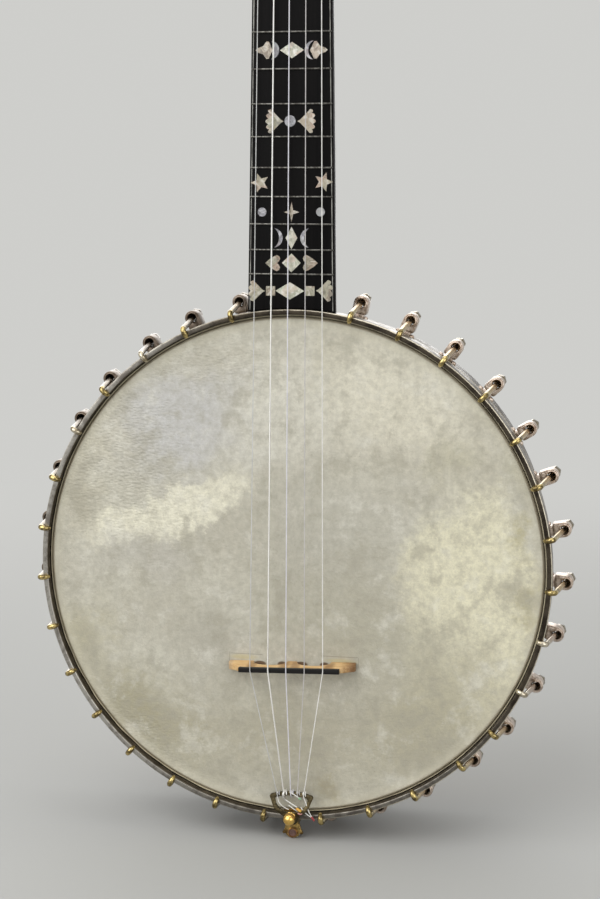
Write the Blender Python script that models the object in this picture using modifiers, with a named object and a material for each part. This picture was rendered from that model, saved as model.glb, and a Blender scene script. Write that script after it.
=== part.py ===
"""Five-string banjo with an open back and thirty bracket hooks.

The instrument is drawn lying on its back, head centre at the bench origin: x to the
treble side, y up the neck, z out of the head. The empty called instrument then stands
it upright, head facing -Y, with the world origin where a wall hanger holds the neck.
"""
import math

import bmesh
import bpy
from mathutils import Matrix, Vector

MM = 0.001
GAP = 0.3 * MM
CUT_PAST = 40.0 * MM

# Pot: rim, head and hoops
RIM_RADIUS = 150.2 * MM
RIM_DEPTH = 66.0 * MM
CLADDING = 0.8 * MM
CLADDING_LIP = 5.0 * MM
RIM_SHOULDER = 1.5 * MM
WOOD_WALL = 9.5 * MM
SKIN = 0.4 * MM
FLESH_HOOP = 3.2 * MM
FLESH_HOOP_DROP = 9.0 * MM
SKIN_FLAP_DROP = 2.0 * MM
HOOP_PLAY = 0.5 * MM
HOOP_WALL = 3.0 * MM
HOOP_STAND = 5.0 * MM
HOOP_EDGE = 0.5 * MM
RING_STEPS = 64

# Brackets: hooks and shoes
BRACKETS_A_SIDE = 15
FIRST_BRACKET = math.radians(13.4)
BRACKET_STEP = math.radians(11.41)
BRACKET_DRIFT = (-0.3, -0.5, -0.9, -0.7, -0.4, -0.9, -0.6, -0.6, -0.6, 0.1, 0.1, -1.0, 0.3, -0.1, -0.3,
                 -0.8, -0.9, -1.0, -0.7, -0.8, -0.9, -1.0, -0.8, -0.8, -0.5, 0.2, 0.0, 0.6, 0.2, -0.1)
HOOK_WIRE = 3.4 * MM
HOOK_BEND = 2.2 * MM
HOOK_CLAW = 2.9 * MM
HOOK_TIP = 1.7 * MM
SHANK_LEAN = 5.0 * MM
SHOE_TOP = 24.0 * MM
SHOE_HEIGHT = 10.0 * MM
SHOE_WIDTH = 8.9 * MM
SHOE_HOLE = 3.0 * MM
HOOK_NUT_RADIUS = 3.9 * MM
HOOK_NUT_HEIGHT = 7.5 * MM
HOOK_NUT_DOME = 2.5 * MM

# Neck, fingerboard and frets
SCALE = 635.0 * MM
BRIDGE_Y = -60.1 * MM
SCALE_PAST_BRIDGE = 1.9 * MM
FRETS = 17
FIFTH_FRET = 5
NECK_FOOT_OUT = 0.4 * MM
BOARD_FACE = 3.0 * MM
NECK_TILT = math.radians(2.0)
BOARD_THICK = 5.0 * MM
TREBLE_AT_POT = 25.6 * MM
TREBLE_AT_NUT = 16.4 * MM
BASS_AT_POT = -26.6 * MM
BASS_AT_FIFTH = -24.9 * MM
BASS_ABOVE_FIFTH = -17.8 * MM
BASS_AT_NUT = -15.6 * MM
SHOULDER_BEYOND = 7.9 * MM
SHOULDER_LENGTH = 24.0 * MM
SHAFT_AT_POT = 19.0 * MM
SHAFT_AT_NUT = 15.5 * MM
HEEL_DEPTH = 52.0 * MM
HEEL_FLAT = 17.0 * MM
HEEL_SWEEP = 72.0 * MM
HEEL_CAP = 3.0 * MM
FRET_WIDTH = 1.3 * MM
FRET_HEIGHT = 0.8 * MM
FRET_TANG = 1.2 * MM
FRET_INSET = 0.4 * MM
NUT_THICK = 5.0 * MM
STRING_OVER_NUT = 1.5 * MM

# Peghead and pegs
PEGHEAD_TILT = math.radians(12.0)
PEGHEAD_THICK = 14.0 * MM
PEGHEAD_DROP = 4.0 * MM
PEGHEAD_HALF = (16.0 * MM, 17.5 * MM, 25.0 * MM, 30.0 * MM, 28.5 * MM, 29.5 * MM, 32.0 * MM)
PEGHEAD_AT = (-6.0 * MM, 6.0 * MM, 20.0 * MM, 40.0 * MM, 78.0 * MM, 118.0 * MM, 144.0 * MM)
CROWN_RISE = 21.0 * MM
VENEER = 1.2 * MM
PEG_SPREAD = 17.5 * MM
LOWER_PEGS = 48.0 * MM
UPPER_PEGS = 104.0 * MM
PEG_SHAFT = 3.2 * MM
PEG_FRONT = 3.7 * MM
PEG_BACK = 4.2 * MM
PEG_POST = 18.0 * MM
PEG_SIDES = 12
BORE_SIDES = 16
FIFTH_PEG_BEYOND = 17.0 * MM
PIP_BEYOND = 2.9 * MM
PIP_RADIUS = 1.2 * MM
PIP_ROOT = 3.0 * MM
FIFTH_PEG_DEPTH = 8.9 * MM
FIFTH_PEG_TIP = 15.0 * MM
FIFTH_PEG_RUN = 9.5 * MM

# Strings, bridge and tailpiece
STRING_RADII = {1: 0.3 * MM, 2: 0.35 * MM, 3: 0.4 * MM, 4: 0.5 * MM, 5: 0.3 * MM}
BRIDGE_X = {1: 21.7 * MM, 2: 10.5 * MM, 3: -0.7 * MM, 4: -11.7 * MM, 5: -22.7 * MM}
NUT_X = {1: 12.6 * MM, 2: 4.6 * MM, 3: -4.2 * MM, 4: -12.2 * MM}
FIFTH_STRING_X = -21.2 * MM
BAR_X = {1: 7.7 * MM, 2: 3.9 * MM, 3: -0.2 * MM, 4: -4.4 * MM, 5: -8.5 * MM}
TAILS = {1: (5.5, -12.5, 2.5), 2: (2.6, -6.4, -0.8), 3: (4.6, -5.0, -1.0), 4: (6.0, -6.6, -1.4),
         5: (4.6, -6.6, -1.4)}
STRING_HEIGHT = 15.5 * MM
TURN_POINTS = 10
PEG_TURNS = 2.0
TURN_SPACE = 0.6 * MM
HITCH_POINTS = 8
BRIDGE_CENTRE_X = 0.6 * MM
BRIDGE_TURN = math.radians(1.7)
BRIDGE_CAP = 3.0 * MM
BRIDGE_CAP_LENGTH = 61.5 * MM
BRIDGE_TOP_THICK = 3.0 * MM
BRIDGE_FOOT_THICK = 5.2 * MM
BRIDGE_HALF = ((2.9, 0.0), (4.5, 4.6), (8.4, 7.8), (13.4, 8.8), (18.4, 7.8), (22.3, 4.6), (23.9, 0.0),
               (39.0, 0.0), (39.0, 2.8), (37.2, 5.8), (33.4, 8.8))
TAIL_X = 1.4 * MM
BAR_INBOARD = 13.9 * MM
BAR_THICK = 2.2 * MM
BAR_ARCH = 1.8 * MM
TAIL_PLATE = 2.0 * MM
TAIL_BEND_INBOARD = 3.9 * MM
TAIL_DROP = 2.4 * MM
STUD_INBOARD = 0.2 * MM
STUD_RADIUS = 1.5 * MM
BALL_RADIUS = 3.8 * MM
TAIL_TAB = 2.0 * MM
TAIL_LEG = 2.3 * MM
TAIL_STRAP = 8.8 * MM
FLARE_Z = 0.8 * MM
FLARE_LENGTH = 12.5 * MM
EYE_RADIUS = 2.2 * MM
EYE_RIM = 0.9 * MM

# Dowel stick and its fixings
DOWEL_WIDTH = 22.0 * MM
DOWEL_HEIGHT = 28.0 * MM
DOWEL_DROP = 31.0 * MM
DOWEL_TENON = 12.0 * MM
BRACE_THICK = 3.0 * MM
BRACE_WIDTH = 40.0 * MM
BRACE_HEIGHT = 44.0 * MM
WEDGE_LENGTH = 46.0 * MM
WEDGE_HEIGHT = 8.0 * MM
WEDGE_THICK = 10.0 * MM
WEDGE_TIP = 7.0 * MM
END_BOLT_RADIUS = 2.4 * MM
END_BOLT_HEAD = 4.6 * MM
END_BOLT_LENGTH = 24.0 * MM

# Levels and radii that follow from the sizes above, measured on the bench
RIM_FRONT = -(SKIN + GAP)
RIM_BACK = RIM_FRONT - RIM_DEPTH
CLADDING_INNER = RIM_RADIUS - CLADDING
WOOD_OUTER = CLADDING_INNER - GAP
WOOD_INNER = WOOD_OUTER - WOOD_WALL
SKIRT_INNER = RIM_RADIUS + GAP
SKIRT_OUTER = SKIRT_INNER + SKIN
FLESH_INNER = SKIRT_OUTER + GAP
FLESH_OUTER = FLESH_INNER + FLESH_HOOP
FLAP_OUTER = FLESH_INNER + SKIN
WRAP_OUTER = FLESH_OUTER + GAP + SKIN
FLESH_TOP = -FLESH_HOOP_DROP
FLESH_BOTTOM = FLESH_TOP - FLESH_HOOP
WRAP_TOP = FLESH_TOP + GAP + SKIN
WRAP_BOTTOM = FLESH_BOTTOM - GAP - SKIN
HOOP_INNER = FLAP_OUTER + HOOP_PLAY + GAP
HOOP_OUTER = HOOP_INNER + HOOP_WALL
HOOP_BOTTOM = WRAP_TOP + GAP
HOOK_RADIUS = HOOK_WIRE / 2
CLAW_RADIUS = HOOP_INNER - GAP - HOOK_TIP / 2
SHANK_RADIUS = HOOP_OUTER + GAP + HOOK_RADIUS
CREST = HOOP_STAND + GAP + HOOK_RADIUS
SHANK_TOP = CREST - HOOK_BEND
SHOE_BOTTOM = -(SHOE_TOP + SHOE_HEIGHT)
SHOE_RADIUS = SHANK_RADIUS + SHANK_LEAN
SHANK_SLOPE = SHANK_LEAN / (SHANK_TOP + SHOE_TOP + SHOE_HEIGHT / 2)
BRIDGE_TOP = STRING_HEIGHT - max(STRING_RADII.values()) - GAP
BODY_TOP = BRIDGE_TOP - BRIDGE_CAP - GAP
TAIL_LOW = HOOP_STAND + GAP + TAIL_TAB + GAP
BAR_Y = -(HOOP_INNER - BAR_INBOARD)
TAIL_BEND_Y = -(HOOP_INNER - TAIL_BEND_INBOARD)
TAIL_STUD_Y = -(HOOP_INNER - STUD_INBOARD)
FLARE_END = HOOP_OUTER + FLARE_LENGTH
TAIL_TOP = TAIL_LOW + TAIL_PLATE
BRACE_Y = math.sqrt(WOOD_INNER ** 2 - (BRACE_WIDTH / 2) ** 2) - GAP
DOWEL_END_Y = -math.sqrt(WOOD_INNER ** 2 - (DOWEL_WIDTH / 2) ** 2) + GAP
HEEL_CAP_LEVEL = -(BOARD_THICK + GAP + HEEL_DEPTH - HEEL_CAP)

# Frames: the neck leans back from the head, and the peghead from the neck
NECK_FOOT_Y = RIM_RADIUS + NECK_FOOT_OUT
NECK = Matrix.Translation((0, NECK_FOOT_Y, BOARD_FACE)) @ Matrix.Rotation(-NECK_TILT, 4, "X")
NUT_S = (BRIDGE_Y - SCALE_PAST_BRIDGE + SCALE - NECK_FOOT_Y) / math.cos(NECK_TILT)
NUT_CENTRE = (BASS_AT_NUT + TREBLE_AT_NUT) / 2
FIFTH_FRET_S = NUT_S - SCALE * (1 - 2 ** (-FIFTH_FRET / 12)) / math.cos(NECK_TILT)
FIFTH_PEG_S = FIFTH_FRET_S + FIFTH_PEG_BEYOND
PIP_S = FIFTH_FRET_S + PIP_BEYOND
SHOULDER_START = FIFTH_PEG_S + SHOULDER_BEYOND
PEGHEAD_PIVOT = Matrix.Translation((NUT_CENTRE, NUT_S + NUT_THICK, -PEGHEAD_DROP))
PEGHEAD = NECK @ PEGHEAD_PIVOT @ Matrix.Rotation(-PEGHEAD_TILT, 4, "X")
UPRIGHT = Matrix.Rotation(math.pi / 2, 4, "X")
HANGER = NECK @ Vector((NUT_CENTRE, NUT_S, -(BOARD_THICK + SHAFT_AT_NUT)))


for old_object in list(bpy.data.objects):
    bpy.data.objects.remove(old_object, do_unlink=True)
banjo = bpy.data.collections.new("five_string_banjo")
cutters = bpy.data.collections.new("cutters")
bpy.context.scene.collection.children.link(banjo)
bpy.context.scene.collection.children.link(cutters)


def finish(name, colour, roughness, metallic=0.0):
    """A plain Principled material in the piece's colour."""
    made = bpy.data.materials.new(name)
    made.use_nodes = True
    shader = made.node_tree.nodes["Principled BSDF"]
    shader.inputs["Base Color"].default_value = (*colour, 1.0)
    shader.inputs["Roughness"].default_value = roughness
    shader.inputs["Metallic"].default_value = metallic
    made.diffuse_color = (*colour, 1.0)
    return made


MAPLE = finish("pale_maple", (0.58, 0.36, 0.17), 0.4)
NICKEL = finish("aged_nickel", (0.52, 0.45, 0.40), 0.32, 1.0)
SKIN_FINISH = finish("calf_skin", (0.72, 0.69, 0.58), 0.65)
DARK_BRASS = finish("dark_brass", (0.30, 0.23, 0.15), 0.4, 1.0)
GOLD = finish("worn_gold", (0.80, 0.60, 0.26), 0.28, 1.0)
EBONY = finish("ebony", (0.018, 0.016, 0.015), 0.35)
BOARD = finish("ebony_board", (0.024, 0.021, 0.020), 0.45)
BONE = finish("bone", (0.82, 0.76, 0.62), 0.4)
GUT = finish("gut_string", (0.86, 0.84, 0.78), 0.35)
SILVER = finish("silver_wound", (0.86, 0.85, 0.83), 0.25, 0.9)
BRIDGE_WOOD = finish("bridge_maple", (0.68, 0.50, 0.28), 0.5)
STEEL = finish("blued_steel", (0.25, 0.25, 0.26), 0.35, 1.0)


def add_empty(name, matrix, parent=None):
    """An axis to hang pieces on, placed under its parent."""
    empty = bpy.data.objects.new(name, None)
    banjo.objects.link(empty)
    empty.parent = parent
    empty.matrix_basis = matrix
    return empty


instrument = add_empty("instrument", Matrix.Translation(-(UPRIGHT @ HANGER)) @ UPRIGHT)
neck_frame = add_empty("neck_frame", NECK, instrument)
peghead_frame = add_empty("peghead_frame", NECK.inverted() @ PEGHEAD, neck_frame)


def add_piece(name, data, material, parent=instrument, place=Matrix()):
    """One sub-part, hung on its frame."""
    data.materials.clear()
    data.materials.append(material)
    piece = bpy.data.objects.new(name, data)
    banjo.objects.link(piece)
    piece.parent = parent
    piece.matrix_basis = place
    return piece


def add_cutter(name, mesh, parent=instrument, place=Matrix()):
    """A hidden shape that cuts a piece or is joined to it."""
    cutter = bpy.data.objects.new(name, mesh)
    cutters.objects.link(cutter)
    cutter.parent = parent
    cutter.matrix_basis = place
    cutter.hide_render = True
    cutter.display_type = "WIRE"
    return cutter


def boolean(piece, other, operation):
    step = piece.modifiers.new(other.name, "BOOLEAN")
    step.operation = operation
    step.solver = "EXACT"
    step.object = other


def cut(piece, *others):
    for other in others:
        boolean(piece, other, "DIFFERENCE")


def join(piece, *others):
    for other in others:
        boolean(piece, other, "UNION")


def tidy(mesh):
    """Weld caps and point the faces outwards."""
    work = bmesh.new()
    work.from_mesh(mesh)
    bmesh.ops.remove_doubles(work, verts=work.verts, dist=0.001 * MM)
    bmesh.ops.recalc_face_normals(work, faces=work.faces)
    work.to_mesh(mesh)
    work.free()
    mesh.shade_smooth()
    mesh.set_sharp_from_angle(angle=math.radians(35))
    return mesh


def turned(name, profile, steps, ring=False):
    """A profile of (radius, height) points turned about Z, down its outer side."""
    mesh = bpy.data.meshes.new(name)
    edges = [(i, i + 1) for i in range(len(profile) - 1)]
    if ring:
        edges.append((len(profile) - 1, 0))
    mesh.from_pydata([(r, 0, z) for r, z in profile], edges, [])
    lathe = bpy.data.objects.new(name, mesh)
    bpy.context.scene.collection.objects.link(lathe)
    screw = lathe.modifiers.new("turn", "SCREW")
    screw.steps = steps
    screw.render_steps = steps
    screw.use_merge_vertices = True
    screw.merge_threshold = 0.001 * MM
    return tidy(evaluated(lathe))


def evaluated(guide):
    """The finished mesh of a guide object, which is then removed."""
    depsgraph = bpy.context.evaluated_depsgraph_get()
    mesh = bpy.data.meshes.new_from_object(guide.evaluated_get(depsgraph))
    mesh.transform(guide.matrix_world)
    bpy.data.objects.remove(guide)
    return mesh


def flat(name, outlines, low, high):
    """Closed (x, y) outlines, the first outside and the rest holes, from low to high."""
    curve = bpy.data.curves.new(name, "CURVE")
    curve.dimensions = "2D"
    curve.fill_mode = "BOTH"
    curve.extrude = (high - low) / 2
    for outline in outlines:
        spline = curve.splines.new("POLY")
        spline.points.add(len(outline) - 1)
        for point, (x, y) in zip(spline.points, outline):
            point.co = (x, y, 0, 1)
        spline.use_cyclic_u = True
    guide = bpy.data.objects.new(name, curve)
    bpy.context.scene.collection.objects.link(guide)
    mesh = evaluated(guide)
    mesh.transform(Matrix.Translation((0, 0, (low + high) / 2)))
    return tidy(mesh)


def wire_curve(name, points, radius, resolution, swell=None):
    """A round wire along points; swell gives each point's share of the radius."""
    curve = bpy.data.curves.new(name, "CURVE")
    curve.dimensions = "3D"
    curve.bevel_depth = radius
    curve.bevel_resolution = resolution
    curve.use_fill_caps = True
    spline = curve.splines.new("POLY")
    spline.points.add(len(points) - 1)
    for i, point in enumerate(points):
        spline.points[i].co = (*point, 1)
        spline.points[i].radius = swell[i] if swell else 1.0
    return curve


def block(name, low, high):
    """A box between two corners."""
    mesh = bpy.data.meshes.new(name)
    work = bmesh.new()
    bmesh.ops.create_cube(work, size=1.0)
    size = Vector(high) - Vector(low)
    middle = (Vector(high) + Vector(low)) / 2
    bmesh.ops.scale(work, vec=size, verts=work.verts)
    bmesh.ops.translate(work, vec=middle, verts=work.verts)
    work.to_mesh(mesh)
    work.free()
    return mesh


def rod(name, start, end, radius, end_radius=None, sides=BORE_SIDES):
    """A round bar or cone between two points."""
    start = Vector(start)
    end = Vector(end)
    mesh = bpy.data.meshes.new(name)
    work = bmesh.new()
    bmesh.ops.create_cone(work, cap_ends=True, segments=sides, radius1=radius,
                          radius2=end_radius or radius, depth=(end - start).length)
    turn = (end - start).to_track_quat("Z", "Y").to_matrix().to_4x4()
    bmesh.ops.transform(work, matrix=Matrix.Translation((start + end) / 2) @ turn, verts=work.verts)
    work.to_mesh(mesh)
    work.free()
    return mesh


def ring_of(name, mesh, angles):
    """Copies of a mesh turned about the head's centre, as one mesh."""
    work = bmesh.new()
    for angle in angles:
        copy = mesh.copy()
        copy.transform(Matrix.Rotation(-angle, 4, "Z"))
        work.from_mesh(copy)
        bpy.data.meshes.remove(copy)
    joined = bpy.data.meshes.new(name)
    work.to_mesh(joined)
    work.free()
    return joined


def arc(x, y, radius, start, end, steps):
    """Points of a round stretch, with its angles in degrees."""
    turns = [math.radians(start + (end - start) * i / steps) for i in range(steps + 1)]
    return [(x + radius * math.cos(a), y + radius * math.sin(a)) for a in turns]


def mirrored(half):
    """A closed outline from its right half, given from top to bottom."""
    return half + [(-x, y) for x, y in reversed(half) if abs(x) > 0.01 * MM]


def bracket_angles():
    """Even steps down both sides of the pot, each bracket a little off its step."""
    side = [FIRST_BRACKET + BRACKET_STEP * i for i in range(BRACKETS_A_SIDE)]
    even = side + [2 * math.pi - a for a in reversed(side)]
    return [angle + math.radians(drift) for angle, drift in zip(even, BRACKET_DRIFT)]


def make_rim():
    """Wood ring, and the metal spun over it with the thirty bracket shoes on it."""
    lip = RIM_RADIUS - CLADDING_LIP
    inner_top = RIM_FRONT - CLADDING
    inner_bottom = RIM_BACK + CLADDING
    shell = [(lip, RIM_FRONT), (RIM_RADIUS - RIM_SHOULDER, RIM_FRONT),
             (RIM_RADIUS, RIM_FRONT - RIM_SHOULDER), (RIM_RADIUS, RIM_BACK), (lip, RIM_BACK),
             (lip, inner_bottom), (CLADDING_INNER, inner_bottom),
             (CLADDING_INNER, inner_top - RIM_SHOULDER), (CLADDING_INNER - RIM_SHOULDER, inner_top),
             (lip, inner_top)]
    cladding = add_piece("rim_cladding", turned("rim_cladding", shell, RING_STEPS, ring=True), NICKEL)
    wood_top = inner_top - GAP
    wood_bottom = inner_bottom + GAP
    ring = [(WOOD_INNER, wood_top), (WOOD_OUTER - RIM_SHOULDER, wood_top),
            (WOOD_OUTER, wood_top - RIM_SHOULDER), (WOOD_OUTER, wood_bottom),
            (WOOD_INNER, wood_bottom)]
    wood = add_piece("rim_wood", turned("rim_wood", ring, RING_STEPS, ring=True), MAPLE)

    half = SHOE_WIDTH / 2
    outline = [(half, CLADDING_INNER + CLADDING / 2)] + arc(0, SHOE_RADIUS, half, 0, 180, 6)
    outline = outline + [(-half, CLADDING_INNER + CLADDING / 2)]
    hole = arc(0, SHOE_RADIUS, SHOE_HOLE, 0, 315, 7)
    shoe = flat("shoe", [outline, hole], SHOE_BOTTOM, -SHOE_TOP)
    shoes = add_cutter("bracket_shoes", ring_of("bracket_shoes", shoe, bracket_angles()))
    join(cladding, shoes)

    side = DOWEL_WIDTH / 2 + GAP
    rise = DOWEL_HEIGHT / 2 + GAP
    mouth = block("dowel_mouth", (-side, WOOD_INNER - 10 * MM, -DOWEL_DROP - rise),
                  (side, RIM_RADIUS + 5 * MM, -DOWEL_DROP + rise))
    bore = rod("end_bolt_bore", (TAIL_X, -RIM_RADIUS - 5 * MM, -DOWEL_DROP),
               (TAIL_X, -WOOD_INNER + 5 * MM, -DOWEL_DROP), END_BOLT_RADIUS + GAP)
    openings = (add_cutter("dowel_mouth", mouth), add_cutter("end_bolt_bore", bore))
    cut(cladding, *openings)
    cut(wood, *openings)


def make_head():
    """Calf skin over the rim, wrapped round the flesh hoop, and the tension hoop."""
    crease = math.tan(math.radians(22.5))
    inside_top = RIM_RADIUS - RIM_SHOULDER + GAP * crease
    inside_turn = RIM_FRONT - RIM_SHOULDER + GAP * crease
    skin = [(0, 0), (inside_top + SKIN * crease, 0), (SKIRT_OUTER, inside_turn + SKIN * crease),
            (SKIRT_OUTER, WRAP_BOTTOM + SKIN),
            (WRAP_OUTER - SKIN, WRAP_BOTTOM + SKIN), (WRAP_OUTER - SKIN, WRAP_TOP - SKIN),
            (FLESH_INNER, WRAP_TOP - SKIN), (FLESH_INNER, -SKIN_FLAP_DROP),
            (FLAP_OUTER, -SKIN_FLAP_DROP), (FLAP_OUTER, WRAP_TOP), (WRAP_OUTER, WRAP_TOP),
            (WRAP_OUTER, WRAP_BOTTOM), (SKIRT_INNER, WRAP_BOTTOM),
            (SKIRT_INNER, inside_turn), (inside_top, -SKIN), (0, -SKIN)]
    add_piece("head", turned("head", skin, RING_STEPS), SKIN_FINISH)

    corner = FLESH_HOOP * 0.29
    wire = [(FLESH_INNER, FLESH_TOP), (FLESH_OUTER - corner, FLESH_TOP),
            (FLESH_OUTER, FLESH_TOP - corner), (FLESH_OUTER, FLESH_BOTTOM + corner),
            (FLESH_OUTER - corner, FLESH_BOTTOM), (FLESH_INNER, FLESH_BOTTOM)]
    add_piece("flesh_hoop", turned("flesh_hoop", wire, RING_STEPS, ring=True), DARK_BRASS)

    band = [(HOOP_INNER + HOOP_EDGE, HOOP_STAND), (HOOP_OUTER - HOOP_EDGE, HOOP_STAND),
            (HOOP_OUTER, HOOP_STAND - HOOP_EDGE), (HOOP_OUTER, HOOP_BOTTOM),
            (HOOP_INNER, HOOP_BOTTOM), (HOOP_INNER, HOOP_STAND - HOOP_EDGE)]
    add_piece("tension_hoop", turned("tension_hoop", band, RING_STEPS, ring=True), NICKEL)


def make_hooks():
    """Thirty hooks over the hoop, each with its nut drawn up under its shoe."""
    in_bend = CLAW_RADIUS + HOOK_BEND
    out_bend = SHANK_RADIUS - HOOK_BEND
    slant = HOOK_BEND * math.sqrt(0.5)
    nut_top = SHOE_BOTTOM - GAP - HOOK_NUT_RADIUS * SHANK_SLOPE
    tip = HOOK_TIP / HOOK_WIRE
    swell = HOOK_NUT_RADIUS / HOOK_RADIUS

    def shank(z, drop=0.0):
        return (0, SHANK_RADIUS + SHANK_SLOPE * (SHANK_TOP - z), z - drop)

    points = [(0, CLAW_RADIUS, SHANK_TOP - HOOK_CLAW), (0, CLAW_RADIUS, SHANK_TOP),
              (0, in_bend - slant, SHANK_TOP + slant), (0, in_bend, CREST), (0, out_bend, CREST),
              (0, out_bend + slant, SHANK_TOP + slant), shank(SHANK_TOP), shank(nut_top),
              shank(nut_top, 0.02 * MM), shank(nut_top - HOOK_NUT_HEIGHT),
              shank(nut_top - HOOK_NUT_HEIGHT - HOOK_NUT_DOME)]
    shares = [tip, tip, (1 + tip) / 2] + [1.0] * 5 + [swell, swell, swell * 0.55]
    guide = bpy.data.objects.new("hook", wire_curve("hook", points, HOOK_RADIUS, 1, shares))
    bpy.context.scene.collection.objects.link(guide)
    hook = tidy(evaluated(guide))
    for number, angle in enumerate(bracket_angles(), start=1):
        add_piece(f"bracket_hook_{number:02d}", hook, GOLD, place=Matrix.Rotation(-angle, 4, "Z"))


def treble_edge(s):
    return TREBLE_AT_POT + (TREBLE_AT_NUT - TREBLE_AT_POT) * s / NUT_S


def bass_edge(s):
    """The bass side steps in above the fifth peg."""
    if s < SHOULDER_START:
        return BASS_AT_POT + (BASS_AT_FIFTH - BASS_AT_POT) * s / SHOULDER_START
    top = SHOULDER_START + SHOULDER_LENGTH
    if s > top:
        return BASS_ABOVE_FIFTH + (BASS_AT_NUT - BASS_ABOVE_FIFTH) * (s - top) / (NUT_S - top)
    ease = (1 - math.cos(math.pi * (s - SHOULDER_START) / SHOULDER_LENGTH)) / 2
    return BASS_AT_FIFTH + (BASS_ABOVE_FIFTH - BASS_AT_FIFTH) * ease


def shoulder_stations():
    return [SHOULDER_START + SHOULDER_LENGTH * i / 5 for i in range(6)]


def neck_section(s):
    """One cross-section of the neck's wood, deep at the heel and rounded up the shaft."""
    along = min(s / NUT_S, 1.0)
    depth = SHAFT_AT_POT + (SHAFT_AT_NUT - SHAFT_AT_POT) * along
    heel = 1.0
    if s > HEEL_FLAT:
        heel = max(0.0, 1 - (s - HEEL_FLAT) / HEEL_SWEEP) ** 2.4
    depth = depth + (HEEL_DEPTH - depth) * heel
    if s > NUT_S:
        depth = SHAFT_AT_NUT - 2 * MM
    power = 2 / (2.3 + 1.2 * heel)
    left = bass_edge(min(s, NUT_S))
    right = treble_edge(min(s, NUT_S))
    centre = (left + right) / 2
    half = (right - left) / 2
    ring = []
    for i in range(13):
        angle = math.pi * i / 12
        down = math.sin(angle) ** power
        side = math.copysign(abs(math.cos(angle)) ** power, math.cos(angle))
        narrow = 1 - 0.5 * heel * down
        ring.append(Vector((centre + half * side * narrow, s, -BOARD_THICK - GAP - depth * down)))
    return ring


def neck_loft(name, stations):
    """The neck's wood as a loft through its cross-sections."""
    work = bmesh.new()
    rings = [[work.verts.new(point) for point in neck_section(s)] for s in stations]
    for near, far in zip(rings, rings[1:]):
        for i in range(len(near)):
            j = (i + 1) % len(near)
            work.faces.new((near[i], near[j], far[j], far[i]))
    work.faces.new(rings[0])
    work.faces.new(list(reversed(rings[-1])))
    bmesh.ops.recalc_face_normals(work, faces=work.faces)
    mesh = bpy.data.meshes.new(name)
    work.to_mesh(mesh)
    work.free()
    mesh.shade_smooth()
    mesh.set_sharp_from_angle(angle=math.radians(35))
    return mesh


def peghead_outline(start):
    """A waisted outline with a low crown, from start up to its top."""
    sides = [(half, at) for half, at in zip(PEGHEAD_HALF, PEGHEAD_AT) if at > start]
    first = (PEGHEAD_HALF[0], start)
    crown_half = sides[-1][0]
    crown_y = sides[-1][1]
    crown = []
    for i in range(1, 9):
        share = i / 8
        height = crown_y + CROWN_RISE * (0.5 - 0.5 * math.cos(math.pi * share))
        crown.append((crown_half * (1 - share), height))
    return mirrored([first] + sides + crown)


def pot_clearance():
    """The space that the pot takes out of the neck's foot."""
    far = RIM_RADIUS + GAP
    near = WRAP_OUTER + GAP
    hoop = max(near, HOOP_OUTER + GAP)
    step = WRAP_BOTTOM - GAP
    profile = [(0, CUT_PAST), (hoop, CUT_PAST), (hoop, step), (far, step), (far, RIM_BACK - CUT_PAST),
               (0, RIM_BACK - CUT_PAST)]
    return add_cutter("pot_clearance", turned("pot_clearance", profile, RING_STEPS))


def peg_places():
    """Each string's peg on the peghead: across it and up it."""
    return {1: (PEG_SPREAD, LOWER_PEGS), 2: (PEG_SPREAD, UPPER_PEGS),
            3: (-PEG_SPREAD, UPPER_PEGS), 4: (-PEG_SPREAD, LOWER_PEGS)}


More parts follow.
